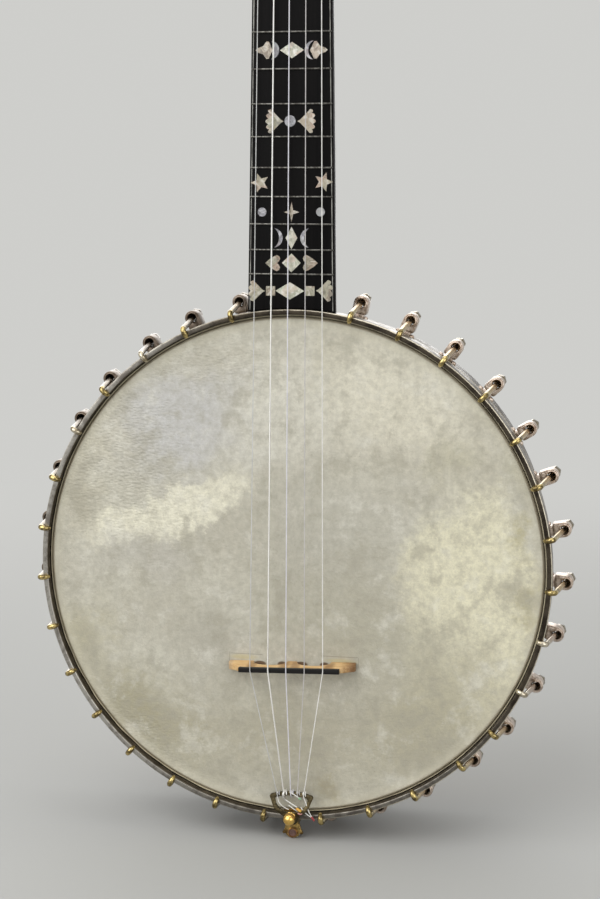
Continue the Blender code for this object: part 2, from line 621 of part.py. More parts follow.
def make_neck(pot):
    """Neck with its peghead, the board with its frets, nut, veneer, heel cap and pip."""
    stations = [-4 * MM, 6 * MM, HEEL_FLAT]
    stations += [HEEL_FLAT + HEEL_SWEEP * share for share in (0.1, 0.2, 0.32, 0.45, 0.6, 0.8, 1.0)]
    stations += [SHOULDER_START * 0.45, SHOULDER_START * 0.75] + shoulder_stations()
    stations += [(SHOULDER_START + SHOULDER_LENGTH + NUT_S) / 2, NUT_S - 1 * MM, NUT_S + NUT_THICK + 1 * MM]
    neck = add_piece("neck", neck_loft("neck", stations), EBONY, neck_frame)
    plate = flat("peghead_plate", [peghead_outline(PEGHEAD_AT[0])], -PEGHEAD_THICK, 0)
    join(neck, add_cutter("peghead_plate", plate, peghead_frame))

    top = -BOARD_THICK - GAP
    seat = block("nut_seat", (-CUT_PAST, NUT_S - 3 * MM, top), (CUT_PAST, NUT_S + NUT_THICK + GAP, CUT_PAST))
    side = DOWEL_WIDTH / 2 + GAP
    rise = DOWEL_HEIGHT / 2 + GAP
    mortise = block("mortise", (-side, RIM_RADIUS - 5 * MM, -DOWEL_DROP - rise),
                    (side, RIM_RADIUS + GAP + DOWEL_TENON + GAP, -DOWEL_DROP + rise))
    cap_cut = block("heel_cap_cut", (-CUT_PAST, -CUT_PAST, HEEL_CAP_LEVEL - CUT_PAST),
                    (CUT_PAST, HEEL_FLAT + HEEL_SWEEP, HEEL_CAP_LEVEL + GAP))
    cut(neck, add_cutter("nut_seat", seat, neck_frame), pot, add_cutter("mortise", mortise),
        add_cutter("heel_cap_cut", cap_cut, neck_frame))
    for number, (across, up) in peg_places().items():
        bore = rod(f"peg_bore_{number}", (across, up, -PEGHEAD_THICK - 1 * MM), (across, up, 1 * MM),
                   PEG_BACK + GAP, PEG_FRONT + GAP)
        cut(neck, add_cutter(f"peg_bore_{number}", bore, peghead_frame))
    edge = bass_edge(FIFTH_PEG_S)
    bore = rod("fifth_bore", (edge - 5 * MM, FIFTH_PEG_S, -FIFTH_PEG_DEPTH),
               (edge + FIFTH_PEG_TIP + 1 * MM, FIFTH_PEG_S, -FIFTH_PEG_DEPTH), PEG_SHAFT + GAP)
    cut(neck, add_cutter("fifth_bore", bore, neck_frame))

    cap = add_piece("heel_cap", neck_loft("heel_cap", stations[:6]), EBONY, neck_frame)
    above = block("above_heel_cap", (-CUT_PAST, -CUT_PAST, HEEL_CAP_LEVEL),
                  (CUT_PAST, HEEL_FLAT + HEEL_SWEEP, CUT_PAST))
    cut(cap, add_cutter("above_heel_cap", above, neck_frame), pot)

    make_board(pot)
    nut = block("nut", (BASS_AT_NUT, NUT_S, -BOARD_THICK),
                (TREBLE_AT_NUT, NUT_S + NUT_THICK, STRING_OVER_NUT - max(STRING_RADII.values()) - GAP))
    add_piece("nut", nut, BONE, neck_frame)
    veneer = flat("peghead_veneer", [peghead_outline(NUT_THICK / 2)], GAP, GAP + VENEER)
    veneer = add_piece("peghead_veneer", veneer, EBONY, peghead_frame)
    for number, (across, up) in peg_places().items():
        hole = rod(f"veneer_hole_{number}", (across, up, -1 * MM), (across, up, 4 * MM), PEG_FRONT + GAP)
        cut(veneer, add_cutter(f"veneer_hole_{number}", hole, peghead_frame))


def fret_s(number):
    """Where a fret lies along the neck, from the even-tempered rule."""
    return NUT_S - SCALE * (1 - 2 ** (-number / 12)) / math.cos(NECK_TILT)


def make_board(pot):
    """Fingerboard with its seventeen bar frets, and the fifth string's pip in it."""
    foot = -4 * MM
    end = NUT_S - GAP
    left = [(bass_edge(s), s) for s in reversed([foot] + shoulder_stations() + [end])]
    right = [(treble_edge(foot), foot), (treble_edge(end), end)]
    board = add_piece("fingerboard", flat("fingerboard", [right + left], -BOARD_THICK, 0), BOARD, neck_frame)
    bars = bmesh.new()
    for number in range(1, FRETS + 1):
        s = fret_s(number)
        bar = block("fret", (bass_edge(s) + FRET_INSET, s - FRET_WIDTH / 2, -FRET_TANG),
                    (treble_edge(s) - FRET_INSET, s + FRET_WIDTH / 2, FRET_HEIGHT))
        bars.from_mesh(bar)
    frets = bpy.data.meshes.new("frets")
    bars.to_mesh(frets)
    bars.free()
    cut(board, pot)
    join(board, add_cutter("frets", frets, neck_frame))
    pip_top = string_over_board(PIP_S) - STRING_RADII[5] - GAP
    socket = rod("pip_socket", (FIFTH_STRING_X, PIP_S, -PIP_ROOT - GAP), (FIFTH_STRING_X, PIP_S, PIP_ROOT),
                 PIP_RADIUS + GAP, sides=12)
    cut(board, add_cutter("pip_socket", socket, neck_frame))
    pip = rod("fifth_string_pip", (FIFTH_STRING_X, PIP_S, -PIP_ROOT), (FIFTH_STRING_X, PIP_S, pip_top),
              PIP_RADIUS, sides=12)
    add_piece("fifth_string_pip", pip, BONE, neck_frame)


def string_over_board(s):
    """Height of the strings' straight run above the board."""
    start = NECK.inverted() @ Vector((0, BRIDGE_Y, STRING_HEIGHT))
    share = (s - start.y) / (NUT_S - start.y)
    return start.z + (STRING_OVER_NUT - start.z) * share


def flatten_head(mesh, start, end, share):
    """Press a turned knob into a thumb piece: full width at start, thin past end."""
    for vertex in mesh.vertices:
        ease = min(max((start - vertex.co.z) / (start - end), 0.0), 1.0)
        vertex.co.y = vertex.co.y * (1 + (share - 1) * ease)
    return mesh


def make_pegs():
    """Four friction pegs through the peghead and the fifth in the neck's side."""
    front = GAP + VENEER
    back = -PEGHEAD_THICK
    collar = back - GAP
    profile = [(0, front + PEG_POST), (PEG_SHAFT, front + PEG_POST), (PEG_SHAFT, front + 1 * MM),
               (PEG_FRONT, front), (PEG_BACK, collar), (6.6 * MM, collar), (6.2 * MM, collar - 1.8 * MM),
               (4.0 * MM, collar - 3.4 * MM), (5.6 * MM, collar - 6.0 * MM), (10.4 * MM, collar - 10 * MM),
               (12.0 * MM, collar - 16 * MM), (10.6 * MM, collar - 23 * MM), (6.0 * MM, collar - 27 * MM),
               (0, collar - 28 * MM)]
    mesh = turned("peg", profile, PEG_SIDES)
    flatten_head(mesh, collar - 3.4 * MM, collar - 10 * MM, 0.3)
    for number, (across, up) in peg_places().items():
        add_piece(f"peg_{number}", mesh, EBONY, peghead_frame, Matrix.Translation((across, up, 0)))

    neck_side = -FIFTH_PEG_RUN
    profile = [(0, FIFTH_PEG_TIP), (PEG_SHAFT, FIFTH_PEG_TIP), (PEG_SHAFT, neck_side), (5.4 * MM, neck_side),
               (5.0 * MM, neck_side - 1.6 * MM), (3.2 * MM, neck_side - 3 * MM),
               (4.6 * MM, neck_side - 5 * MM), (8.6 * MM, neck_side - 8.5 * MM),
               (9.8 * MM, neck_side - 13 * MM), (8.6 * MM, neck_side - 18.5 * MM),
               (5.0 * MM, neck_side - 22 * MM), (0, neck_side - 22.8 * MM)]
    mesh = turned("fifth_peg", profile, PEG_SIDES)
    flatten_head(mesh, neck_side - 3 * MM, neck_side - 8.5 * MM, 0.32)
    place = Matrix.Translation((bass_edge(FIFTH_PEG_S), FIFTH_PEG_S, -FIFTH_PEG_DEPTH))
    place = place @ Matrix.Rotation(math.pi / 2, 4, "Y")
    add_piece("fifth_peg", mesh, EBONY, neck_frame, place)


def bar_centre(x):
    """The middle of the tailpiece's arched bar at a place across it."""
    y = BAR_Y - BAR_ARCH * (x / (12.6 * MM)) ** 2
    return Vector((TAIL_X + x, y, TAIL_LOW + TAIL_PLATE / 2 - tail_drop(y)))


def tail_drop(y):
    """How far the tailpiece's plate has bent down towards the head."""
    return TAIL_DROP * max(0.0, (y - TAIL_BEND_Y) / (BAR_Y - TAIL_BEND_Y))


def tail_hitch(number):
    """A string's loose end and its turn round the bar."""
    radius = STRING_RADII[number]
    centre = bar_centre(BAR_X[number])
    loop = (math.hypot(BAR_THICK, TAIL_PLATE) / 2 + GAP + radius) / math.cos(math.pi / HITCH_POINTS)
    spread = 2 * radius + TURN_SPACE
    points = [centre + Vector((spread, 0, loop)) + Vector(TAILS[number]) * MM]
    for i in range(HITCH_POINTS + 1):
        left = 1 - i / HITCH_POINTS
        angle = math.pi / 2 + math.tau * left
        rest = Vector((spread * left, loop * math.cos(angle), loop * math.sin(angle)))
        points.append(centre + rest)
    return points


def peg_winding(number):
    """The string's turns round its peg, down towards the peghead."""
    across, up = peg_places()[number]
    radius = STRING_RADII[number]
    reach = (PEG_SHAFT + GAP + radius) / math.cos(math.pi / TURN_POINTS)
    side = 1 if across < 0 else -1
    points = []
    for i in range(int(PEG_TURNS * TURN_POINTS) + 1):
        angle = math.tau * i / TURN_POINTS
        height = GAP + VENEER + 8 * MM - (2 * radius + TURN_SPACE) * i / TURN_POINTS
        points.append(PEGHEAD @ Vector((across + side * reach * math.cos(angle),
                                        up + reach * math.sin(angle), height)))
    return points


def fifth_winding():
    """The fifth string's way over the board's edge and round its peg."""
    radius = STRING_RADII[5]
    reach = (PEG_SHAFT + GAP + radius) / math.cos(math.pi / TURN_POINTS)
    s = FIFTH_PEG_S
    first = math.radians(50)
    points = [NECK @ Vector((bass_edge(s) - 0.5 * MM, s - 7 * MM, GAP + radius + 0.3 * MM))]
    for i in range(int(PEG_TURNS * TURN_POINTS) + 1):
        angle = first + math.tau * i / TURN_POINTS
        across = bass_edge(s) - 3.4 * MM - (2 * radius + TURN_SPACE) * i / TURN_POINTS
        points.append(NECK @ Vector((across, s + reach * math.sin(angle),
                                     -FIFTH_PEG_DEPTH + reach * math.cos(angle))))
    return points


def least_gap(points, radius):
    """The least clear space between a string's turns, measured on its points."""
    least = 1.0
    for i, here in enumerate(points):
        for there in points[i + 8:]:
            least = min(least, (there - here).length - 2 * radius)
    return least


def over_bridge(x):
    """Where a string crosses the bridge, which stands a little turned."""
    return Vector((x, BRIDGE_Y + (x - BRIDGE_CENTRE_X) * math.tan(BRIDGE_TURN), STRING_HEIGHT))


def make_strings():
    """Five strings, each hitched on the bar, over bridge and nut, and wound on its peg."""
    for number in range(1, 6):
        points = tail_hitch(number)
        points.append(over_bridge(BRIDGE_X[number]))
        if number == 5:
            points.append(NECK @ Vector((FIFTH_STRING_X, PIP_S, string_over_board(PIP_S))))
            points += fifth_winding()
        else:
            for s in (NUT_S, NUT_S + NUT_THICK):
                points.append(NECK @ Vector((NUT_X[number], s, STRING_OVER_NUT)))
            points += peg_winding(number)
        radius = STRING_RADII[number]
        curve = wire_curve(f"string_{number}", points, radius, 1)
        add_piece(f"string_{number}", curve, SILVER if number == 4 else GUT)
        print(f"string_{number}: least gap to itself {least_gap(points, radius) / MM:.2f} mm")


def make_bridge():
    """Maple bridge on three feet, with an ebony cap under the strings."""
    half = [(x * MM, z * MM + GAP) for x, z in BRIDGE_HALF] + [(BRIDGE_CAP_LENGTH / 2, BODY_TOP)]
    outline = half + [(-x, z) for x, z in reversed(half)]
    body = flat("bridge", [outline], -BRIDGE_FOOT_THICK / 2, BRIDGE_FOOT_THICK / 2)
    for vertex in body.vertices:
        share = vertex.co.y / BODY_TOP
        vertex.co.z *= 1 + (BRIDGE_TOP_THICK / BRIDGE_FOOT_THICK - 1) * share
    body.transform(Matrix.Rotation(math.pi / 2, 4, "X"))
    place = Matrix.Translation((BRIDGE_CENTRE_X, BRIDGE_Y, 0)) @ Matrix.Rotation(BRIDGE_TURN, 4, "Z")
    add_piece("bridge", body, BRIDGE_WOOD, place=place)
    cap = block("bridge_cap", (-BRIDGE_CAP_LENGTH / 2, -BRIDGE_TOP_THICK / 2, BODY_TOP + GAP),
                (BRIDGE_CAP_LENGTH / 2, BRIDGE_TOP_THICK / 2, BRIDGE_TOP))
    add_piece("bridge_cap", cap, EBONY, place=place)


def make_tailpiece():
    """Half-moon tailpiece, the bracket that holds it over the hoop, and its ball nut."""
    strap = TAIL_STRAP / 2
    bar_top = BAR_Y + BAR_THICK / 2
    bar_low = BAR_Y - BAR_THICK / 2
    outer = [(0, bar_top), (6 * MM, bar_top - 0.4 * MM), (11 * MM, bar_top - 1.5 * MM),
             (12.7 * MM, bar_top - 1.9 * MM), (13.5 * MM, bar_top - 3.2 * MM),
             (12.7 * MM, bar_top - 4.6 * MM), (11.4 * MM, bar_top - 8.4 * MM),
             (9.4 * MM, bar_top - 11.6 * MM), (6.4 * MM, bar_top - 13.6 * MM),
             (strap, bar_top - 15.0 * MM), (strap, TAIL_STUD_Y - 3.4 * MM),
             (strap - 1.6 * MM, TAIL_STUD_Y - 5 * MM)]
    inner = [(0, bar_low), (5 * MM, bar_low - 0.35 * MM), (9.3 * MM, bar_low - 1.3 * MM),
             (10.0 * MM, bar_low - 2.4 * MM), (9.2 * MM, bar_low - 5.4 * MM),
             (7.4 * MM, bar_low - 7.9 * MM), (4.0 * MM, bar_low - 9.4 * MM), (0, bar_low - 9.8 * MM)]
    stud_hole = arc(0, TAIL_STUD_Y, STUD_RADIUS + GAP, 0, 330, 11)
    plate = flat("tailpiece", [mirrored(outer), mirrored(inner), stud_hole], TAIL_LOW, TAIL_TOP)
    for vertex in plate.vertices:
        vertex.co.z -= tail_drop(vertex.co.y)
    middle = Matrix.Translation((TAIL_X, 0, 0))
    add_piece("tailpiece", plate, DARK_BRASS, place=middle)

    ball_z = TAIL_TOP + GAP + 1.2 * MM + BALL_RADIUS * 0.8
    ball = arc(0, ball_z, BALL_RADIUS, 90, -53, 7)
    profile = ball + [(2.6 * MM, TAIL_TOP + GAP), (STUD_RADIUS, TAIL_TOP + GAP),
                      (STUD_RADIUS, HOOP_STAND + 2 * GAP), (0, HOOP_STAND + 2 * GAP)]
    profile[0] = (0, ball_z + BALL_RADIUS)
    add_piece("tail_ball_nut", turned("tail_ball_nut", profile, 14), GOLD,
              place=Matrix.Translation((TAIL_X, TAIL_STUD_Y, 0)))

    hoop = HOOP_OUTER + GAP
    rim = RIM_RADIUS + GAP
    tab_low = HOOP_STAND + GAP
    knee = WRAP_BOTTOM - 6 * MM
    foot = -DOWEL_DROP - 7 * MM
    side = [(TAIL_STUD_Y + 4 * MM, tab_low), (TAIL_STUD_Y + 4 * MM, tab_low + TAIL_TAB),
            (-hoop - TAIL_LEG + 1.2 * MM, tab_low + TAIL_TAB), (-hoop - TAIL_LEG, tab_low + TAIL_TAB - 1.2 * MM),
            (-hoop - TAIL_LEG, knee), (-rim - TAIL_LEG, knee - 6 * MM), (-rim - TAIL_LEG, foot),
            (-rim, foot), (-rim, knee - 5 * MM), (-hoop, knee + 1 * MM), (-hoop, tab_low)]
    strip = flat("tail_bracket", [side], -strap, strap)
    strip.transform(Matrix(((0, 0, 1, 0), (1, 0, 0, 0), (0, 1, 0, 0), (0, 0, 0, 1))))
    bracket = add_piece("tail_bracket", strip, GOLD, place=middle)
    neck = hoop + TAIL_LEG
    tail = [(strap * 0.8, -hoop - TAIL_LEG / 2), (strap, -neck), (strap * 1.06, -neck - 2.4 * MM),
            (6.5 * MM, -FLARE_END + 3.4 * MM), (5.4 * MM, -FLARE_END + 1.4 * MM), (3.0 * MM, -FLARE_END)]
    eye_y = -FLARE_END + 3.4 * MM
    flare = flat("tail_flare", [mirrored(tail)], FLARE_Z, FLARE_Z + TAIL_LEG)
    eye = rod("tail_eye", (0, eye_y, FLARE_Z + 0.5 * MM), (0, eye_y, FLARE_Z + TAIL_LEG + 0.8 * MM),
              EYE_RADIUS + EYE_RIM)
    join(bracket, add_cutter("tail_flare", flare, place=middle), add_cutter("tail_eye", eye, place=middle))
    eye_hole = rod("eye_hole", (0, eye_y, FLARE_Z - 1 * MM), (0, eye_y, FLARE_Z + 5 * MM), EYE_RADIUS)
    stud_bore = rod("stud_bore", (0, TAIL_STUD_Y, 0), (0, TAIL_STUD_Y, 12 * MM), STUD_RADIUS + GAP, sides=12)
    bolt_bore = rod("bracket_bore", (0, -rim - 10 * MM, -DOWEL_DROP), (0, -rim + 5 * MM, -DOWEL_DROP),
                    END_BOLT_RADIUS + GAP, sides=16)
    cut(bracket, add_cutter("eye_hole", eye_hole, place=middle), add_cutter("stud_bore", stud_bore, place=middle),
        add_cutter("bracket_bore", bolt_bore, place=middle))


def make_dowel():
    """Dowel stick through the pot, its brace plate and wedge, and the bolt at the tail."""
    side = DOWEL_WIDTH / 2
    rise = DOWEL_HEIGHT / 2
    stick = block("dowel_stick", (-side, DOWEL_END_Y, -DOWEL_DROP - rise),
                  (side, RIM_RADIUS + GAP + DOWEL_TENON, -DOWEL_DROP + rise))
    dowel = add_piece("dowel_stick", stick, MAPLE)
    bevel = dowel.modifiers.new("eased_edges", "BEVEL")
    bevel.width = 1.5 * MM
    bevel.segments = 1

    wedge_y = BRACE_Y - BRACE_THICK - GAP
    half = WEDGE_LENGTH / 2
    wedge = [(-half, wedge_y), (-half, wedge_y - WEDGE_THICK), (half, wedge_y - WEDGE_TIP), (half, wedge_y)]
    low = -DOWEL_DROP - WEDGE_HEIGHT / 2
    high = -DOWEL_DROP + WEDGE_HEIGHT / 2
    add_piece("brace_wedge", flat("brace_wedge", [wedge], low, high), EBONY)
    slot = [(-half, wedge_y + GAP), (-half, wedge_y - WEDGE_THICK - GAP),
            (half, wedge_y - WEDGE_TIP - GAP), (half, wedge_y + GAP)]
    wedge_slot = add_cutter("wedge_slot", flat("wedge_slot", [slot], low - GAP, high + GAP))
    bore = rod("dowel_bore", (TAIL_X, DOWEL_END_Y - 5 * MM, -DOWEL_DROP),
               (TAIL_X, DOWEL_END_Y + END_BOLT_LENGTH, -DOWEL_DROP), END_BOLT_RADIUS + GAP)
    cut(dowel, wedge_slot, add_cutter("dowel_bore", bore))

    plate = block("neck_brace", (-BRACE_WIDTH / 2, BRACE_Y - BRACE_THICK, -DOWEL_DROP - BRACE_HEIGHT / 2),
                  (BRACE_WIDTH / 2, BRACE_Y, -DOWEL_DROP + BRACE_HEIGHT / 2))
    brace = add_piece("neck_brace", plate, NICKEL)
    window = block("brace_window", (-side - GAP, BRACE_Y - 10 * MM, -DOWEL_DROP - rise - GAP),
                   (side + GAP, BRACE_Y + 10 * MM, -DOWEL_DROP + rise + GAP))
    cut(brace, add_cutter("brace_window", window))

    seat = -(RIM_RADIUS + GAP + TAIL_LEG + GAP)
    head = [(0, 3.2 * MM), (2.4 * MM, 2.8 * MM), (4.0 * MM, 1.6 * MM), (END_BOLT_HEAD, 0), (END_BOLT_RADIUS, 0),
            (END_BOLT_RADIUS, DOWEL_END_Y), (0, DOWEL_END_Y)]
    reach = -seat + DOWEL_END_Y + END_BOLT_LENGTH - 2 * MM
    head = [(r, z if z >= 0 else -reach) for r, z in head]
    place = Matrix.Translation((TAIL_X, seat, -DOWEL_DROP)) @ Matrix.Rotation(math.pi / 2, 4, "X")
    add_piece("end_bolt", turned("end_bolt", head, 14), STEEL, place=place)


make_rim()
make_head()
make_hooks()
pot_space = pot_clearance()
make_neck(pot_space)
make_pegs()
make_strings()
make_bridge()
make_tailpiece()
make_dowel()
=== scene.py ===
"""Looks of the five-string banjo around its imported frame.

Pieces are shaped in millimetres on a bench, the banjo lying on its back: x to the treble
side, y up the neck, z out of the skin, the skin's centre at the bench origin. POT stands
them upright in metres. NECK does so from the foot of the fingerboard, with y along the
board and z over it, PEGHEAD from the peghead's hinge line, and TAIL from the tailpiece's
middle line. Materials measure the upright banjo from the skin's centre too: across to the
treble side, back through the pot, and up the neck.
"""
import math
import random

import bmesh
import bpy
from mathutils import Matrix, Vector


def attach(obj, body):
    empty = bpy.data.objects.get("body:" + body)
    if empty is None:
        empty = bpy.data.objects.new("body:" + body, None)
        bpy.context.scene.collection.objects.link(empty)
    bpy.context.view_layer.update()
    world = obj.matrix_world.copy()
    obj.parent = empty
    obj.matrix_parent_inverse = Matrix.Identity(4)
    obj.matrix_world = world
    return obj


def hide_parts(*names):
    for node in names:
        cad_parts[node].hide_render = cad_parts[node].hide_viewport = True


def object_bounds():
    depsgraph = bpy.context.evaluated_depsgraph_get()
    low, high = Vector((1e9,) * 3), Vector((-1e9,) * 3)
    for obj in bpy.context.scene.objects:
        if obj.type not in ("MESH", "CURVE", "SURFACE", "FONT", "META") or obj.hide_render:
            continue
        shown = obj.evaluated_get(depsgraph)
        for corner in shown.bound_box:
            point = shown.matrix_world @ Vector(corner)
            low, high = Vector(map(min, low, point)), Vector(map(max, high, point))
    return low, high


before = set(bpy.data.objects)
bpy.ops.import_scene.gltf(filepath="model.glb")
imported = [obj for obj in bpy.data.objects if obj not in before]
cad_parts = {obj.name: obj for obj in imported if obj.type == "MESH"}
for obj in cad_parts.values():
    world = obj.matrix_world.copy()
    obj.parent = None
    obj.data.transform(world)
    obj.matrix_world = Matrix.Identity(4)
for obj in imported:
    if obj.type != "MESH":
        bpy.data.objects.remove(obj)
cad_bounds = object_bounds()

MM = 0.001
ROOT = "instrument"
WELD = 0.002

# The skin's centre, a little to the bass side of the peghead's middle
CENTRE_X = -0.4
HEAD_CENTRE = Vector((CENTRE_X, -32.238, -572.285)) * MM

# Pot: radii from its axis and heights over the skin
RIM_RADIUS = 150.2
RIM_FRONT = -0.7
RIM_BACK = -66.7
CLADDING = 0.8
WOOD_INNER = 139.6
WOOD_OUTER = 149.1
SKIN = 0.4
SKIRT_OUTER = 150.9
FLAP_INNER = 151.2
FLAP_OUTER = 152.0
FLAP_TOP = -1.2
FRAYS = 96
WRAP_OUTER = 155.1
WRAP_TOP = -8.3
WRAP_BOTTOM = -12.9
HOOP_INNER = 152.4
HOOP_OUTER = 155.4
HOOP_TOP = 5.0
HOOP_BOTTOM = -8.0
ROUND_STEPS = 240

# Brackets: degrees clockwise from the neck, and how far each one stands off its step
BRACKETS = 30
FIRST_BRACKET = 13.4
BRACKET_STEP = 11.41
BRACKET_DRIFT = (-0.3, -0.5, -0.9, -0.7, -0.4, -0.9, -0.6, -0.6, -0.6, 0.1, 0.1, -1.0, 0.3, -0.1, -0.3,
                 -0.8, -0.9, -1.0, -0.7, -0.8, -0.9, -1.0, -0.8, -0.8, -0.5, 0.2, 0.0, 0.6, 0.2, -0.1)
SILVERED_HOOKS = (9, 10, 26, 28)
HOOK_RADIUS = 1.7
CLAW_RADIUS = 152.2
SHANK_RADIUS = 157.4
CREST = 7.0
HOOK_BEND = 2.2
SHOE_TOP = -24.0
SHOE_BOTTOM = -34.0
SHOE_MIDDLE = (SHOE_TOP + SHOE_BOTTOM) / 2
SHOE_RADIUS = 162.4
SHOE_HALF = 4.45
SHOE_NECK = SHOE_RADIUS - 6.6
SHANK_SLOPE = (SHOE_RADIUS - SHANK_RADIUS) / (CREST - HOOK_BEND - SHOE_MIDDLE)

# Neck: s is the way along the board from its foot
NECK_TILT = 2.0
NECK_FOOT = 150.6
BOARD_STANDS = 3.0
BOARD_THICK = 5.0
SCALE = 635.0
FRETS = 17
FRET_HALF = 0.52
NUT_S = 422.6575
NUT_LONG = 5.0
TREBLE_AT_POT = 25.6
TREBLE_AT_NUT = 16.4
BASS_AT_POT = -26.6
BASS_AT_FIFTH = -24.9
BASS_ABOVE_FIFTH = -17.8
BASS_AT_NUT = -15.6
SHOULDER_START = 288.17
SHOULDER_LENGTH = 24.0
SHAFT_DEPTH = 19.0
SHAFT_TAPER = 3.5
YOKE_DEPTH = 13.5
HEEL_DEPTH = 52.0
HEEL_FLAT = 17.0
HEEL_RUN = 72.0
HEEL_CURVE = 2.4
HEEL_CAP_LEVEL = -54.3
PEGHEAD_TILT = 12.0
PEGHEAD_DROP = 4.0
PEGHEAD_THICK = 14.0
VENEER_TOP = 1.5

# Pegs: knobs as radius and depth below the collar
PEG_PLACES = {1: (17.5, 48.0), 2: (17.5, 104.0), 3: (-17.5, 104.0), 4: (-17.5, 48.0)}
PEG_POST = 3.2
PEG_COLLAR = -14.3
PEG_KNOB = ((6.2, 0), (6.7, 0.5), (6.6, 1.2), (5.6, 1.9), (4.4, 2.8), (4.0, 3.8), (4.5, 5.2), (6.6, 7.2),
            (9.4, 9.3), (11.4, 12.4), (12.0, 16), (11.6, 20), (9.8, 23.8), (6.6, 26.4), (3.0, 27.7), (0, 28))
PEG_TIP = 27.6
FIFTH_PEG_S = 280.27
FIFTH_PEG_DROP = 8.9
FIFTH_COLLAR = -9.5
FIFTH_KNOB = ((5.1, 0), (5.5, 0.4), (5.3, 1.2), (4.2, 1.9), (3.3, 2.9), (3.6, 4.2), (5.4, 5.8), (7.9, 7.6),
              (9.4, 10.2), (9.8, 13), (9.5, 16), (8.0, 19.2), (5.2, 21.5), (2.4, 22.6), (0, 22.8))
PIP_S = 266.17
PIP_X = -21.2

# Strings, by number from the treble side
STRING_RADII = {1: 0.3, 2: 0.35, 3: 0.4, 4: 0.5, 5: 0.3}
BRIDGE_X = {1: 21.7, 2: 10.5, 3: -0.7, 4: -11.7, 5: -22.7}
NUT_X = {1: 12.6, 2: 4.6, 3: -4.2, 4: -12.2}
BAR_X = {1: 7.7, 2: 3.9, 3: -0.2, 4: -4.4, 5: -8.5}
STRING_HEIGHT = 15.5
HEIGHT_AT_NUT = 1.5
STRING_GAP = 0.3
POST_GAP = 0.15
TURN_STEPS = 24
POST_TURNS = 3

# Bridge and tail
BRIDGE_CENTRE_X = 0.6
BRIDGE_Y = -60.1
BRIDGE_TURN = 1.7
BRIDGE_TOP = 11.4
BRIDGE_FOOT_THICK = 5.2
BRIDGE_TOP_THICK = 3.0
CAP_HALF = 30.75
TAIL_X = 1.4
TAIL_TOP = 9.6
TAIL_UNDER = 7.6
BAR_Y = -138.5
BAR_HALF = 1.1
STUD_Y = -152.2
STRAP_HALF = 4.4
STRAP_THICK = 2.3
STRAP_GAP = 0.3
EYELET_Y = -164.5

# Dowel stick, brace plate and wedge
STICK_LEVEL = -31.0
STICK_HALF = 11.0
STICK_DEEP = 14.0
STICK_GAP = 0.3
BRACE_HALF = 20.0
BRACE_THICK = 3.0

# Floor and studio
BACKDROP = (0.62, 0.62, 0.60)
FLOOR_PAINT = (0.40, 0.40, 0.385)
AMBIENT = 0.42


def shift(x=0.0, y=0.0, z=0.0):
    return Matrix.Translation((x, y, z))


def turned(degrees, axis):
    return Matrix.Rotation(math.radians(degrees), 4, axis)


POT = Matrix.Translation(HEAD_CENTRE) @ turned(90, "X") @ Matrix.Scale(MM, 4)
NECK = POT @ shift(0, NECK_FOOT, BOARD_STANDS) @ turned(-NECK_TILT, "X")
PEGHEAD = NECK @ shift(-CENTRE_X, NUT_S + NUT_LONG, -PEGHEAD_DROP) @ turned(-PEGHEAD_TILT, "X")
TAIL = POT @ shift(TAIL_X)


# Camera, where the photograph was taken from

eye = bpy.data.cameras.new("camera")
eye.lens = 70
eye.sensor_width = 36
eye.sensor_fit = "AUTO"
eye.clip_start = 0.01
eye.clip_end = 100
camera = bpy.data.objects.new("camera", eye)
bpy.context.scene.collection.objects.link(camera)
right = Vector((0.98259, 0.18575, 0.00388)).normalized()
ahead = Vector((-0.18358, 0.97387, -0.13369)).normalized()
up = right.cross(ahead).normalized()
right = ahead.cross(up)
facing = Matrix((right, up, -ahead)).transposed().to_4x4()
camera.matrix_world = Matrix.Translation(HEAD_CENTRE + Vector((0.1957, -1.0141, 0.2111))) @ facing
bpy.context.scene.camera = camera


# Materials

def feed(tree, socket, value):
    if isinstance(value, bpy.types.NodeSocket):
        tree.links.new(value, socket)
    else:
        socket.default_value = value


def put(tree, kind, inputs=None, **settings):
    """A node with its settings and inputs, numbers or sockets."""
    node = tree.nodes.new("ShaderNode" + kind)
    for key, value in settings.items():
        setattr(node, key, value)
    for key, value in (inputs or {}).items():
        feed(tree, node.inputs[key], value)
    return node


def maths(tree, operation, a, b=0.0, c=0.0):
    return put(tree, "Math", {0: a, 1: b, 2: c}, operation=operation).outputs[0]


def times(tree, a, b):
    return maths(tree, "MULTIPLY", a, b)


def vector(tree, operation, a, b=(0, 0, 0)):
    return put(tree, "VectorMath", {0: a, 1: b}, operation=operation).outputs[0]


def scaled(tree, where, scale):
    return put(tree, "VectorMath", {0: where, "Scale": scale}, operation="SCALE").outputs[0]


def axes(tree, where):
    """The three measures of a place: across, back and up."""
    return put(tree, "SeparateXYZ", {0: where}).outputs[:]


def rise(tree, value, low, high, bottom=0.0, top=1.0):
    """Goes smoothly from bottom to top as value goes from low to high."""
    made = put(tree, "MapRange", {0: value, 1: low, 2: high, 3: bottom, 4: top})
    made.interpolation_type = "SMOOTHSTEP"
    return made.outputs[0]


def mix(tree, share, a, b):
    """Colour a turning to b by share."""
    made = put(tree, "Mix", {0: share}, data_type="RGBA")
    for key, value in ((6, a), (7, b)):
        feed(tree, made.inputs[key], (*value, 1.0) if isinstance(value, tuple) else value)
    return made.outputs[2]


def tint(tree, colour, tone, value, low, high, share=1.0):
    """Turns colour to tone, up to a share, as value goes from low to high."""
    return mix(tree, rise(tree, value, low, high, 0.0, share), colour, tone)


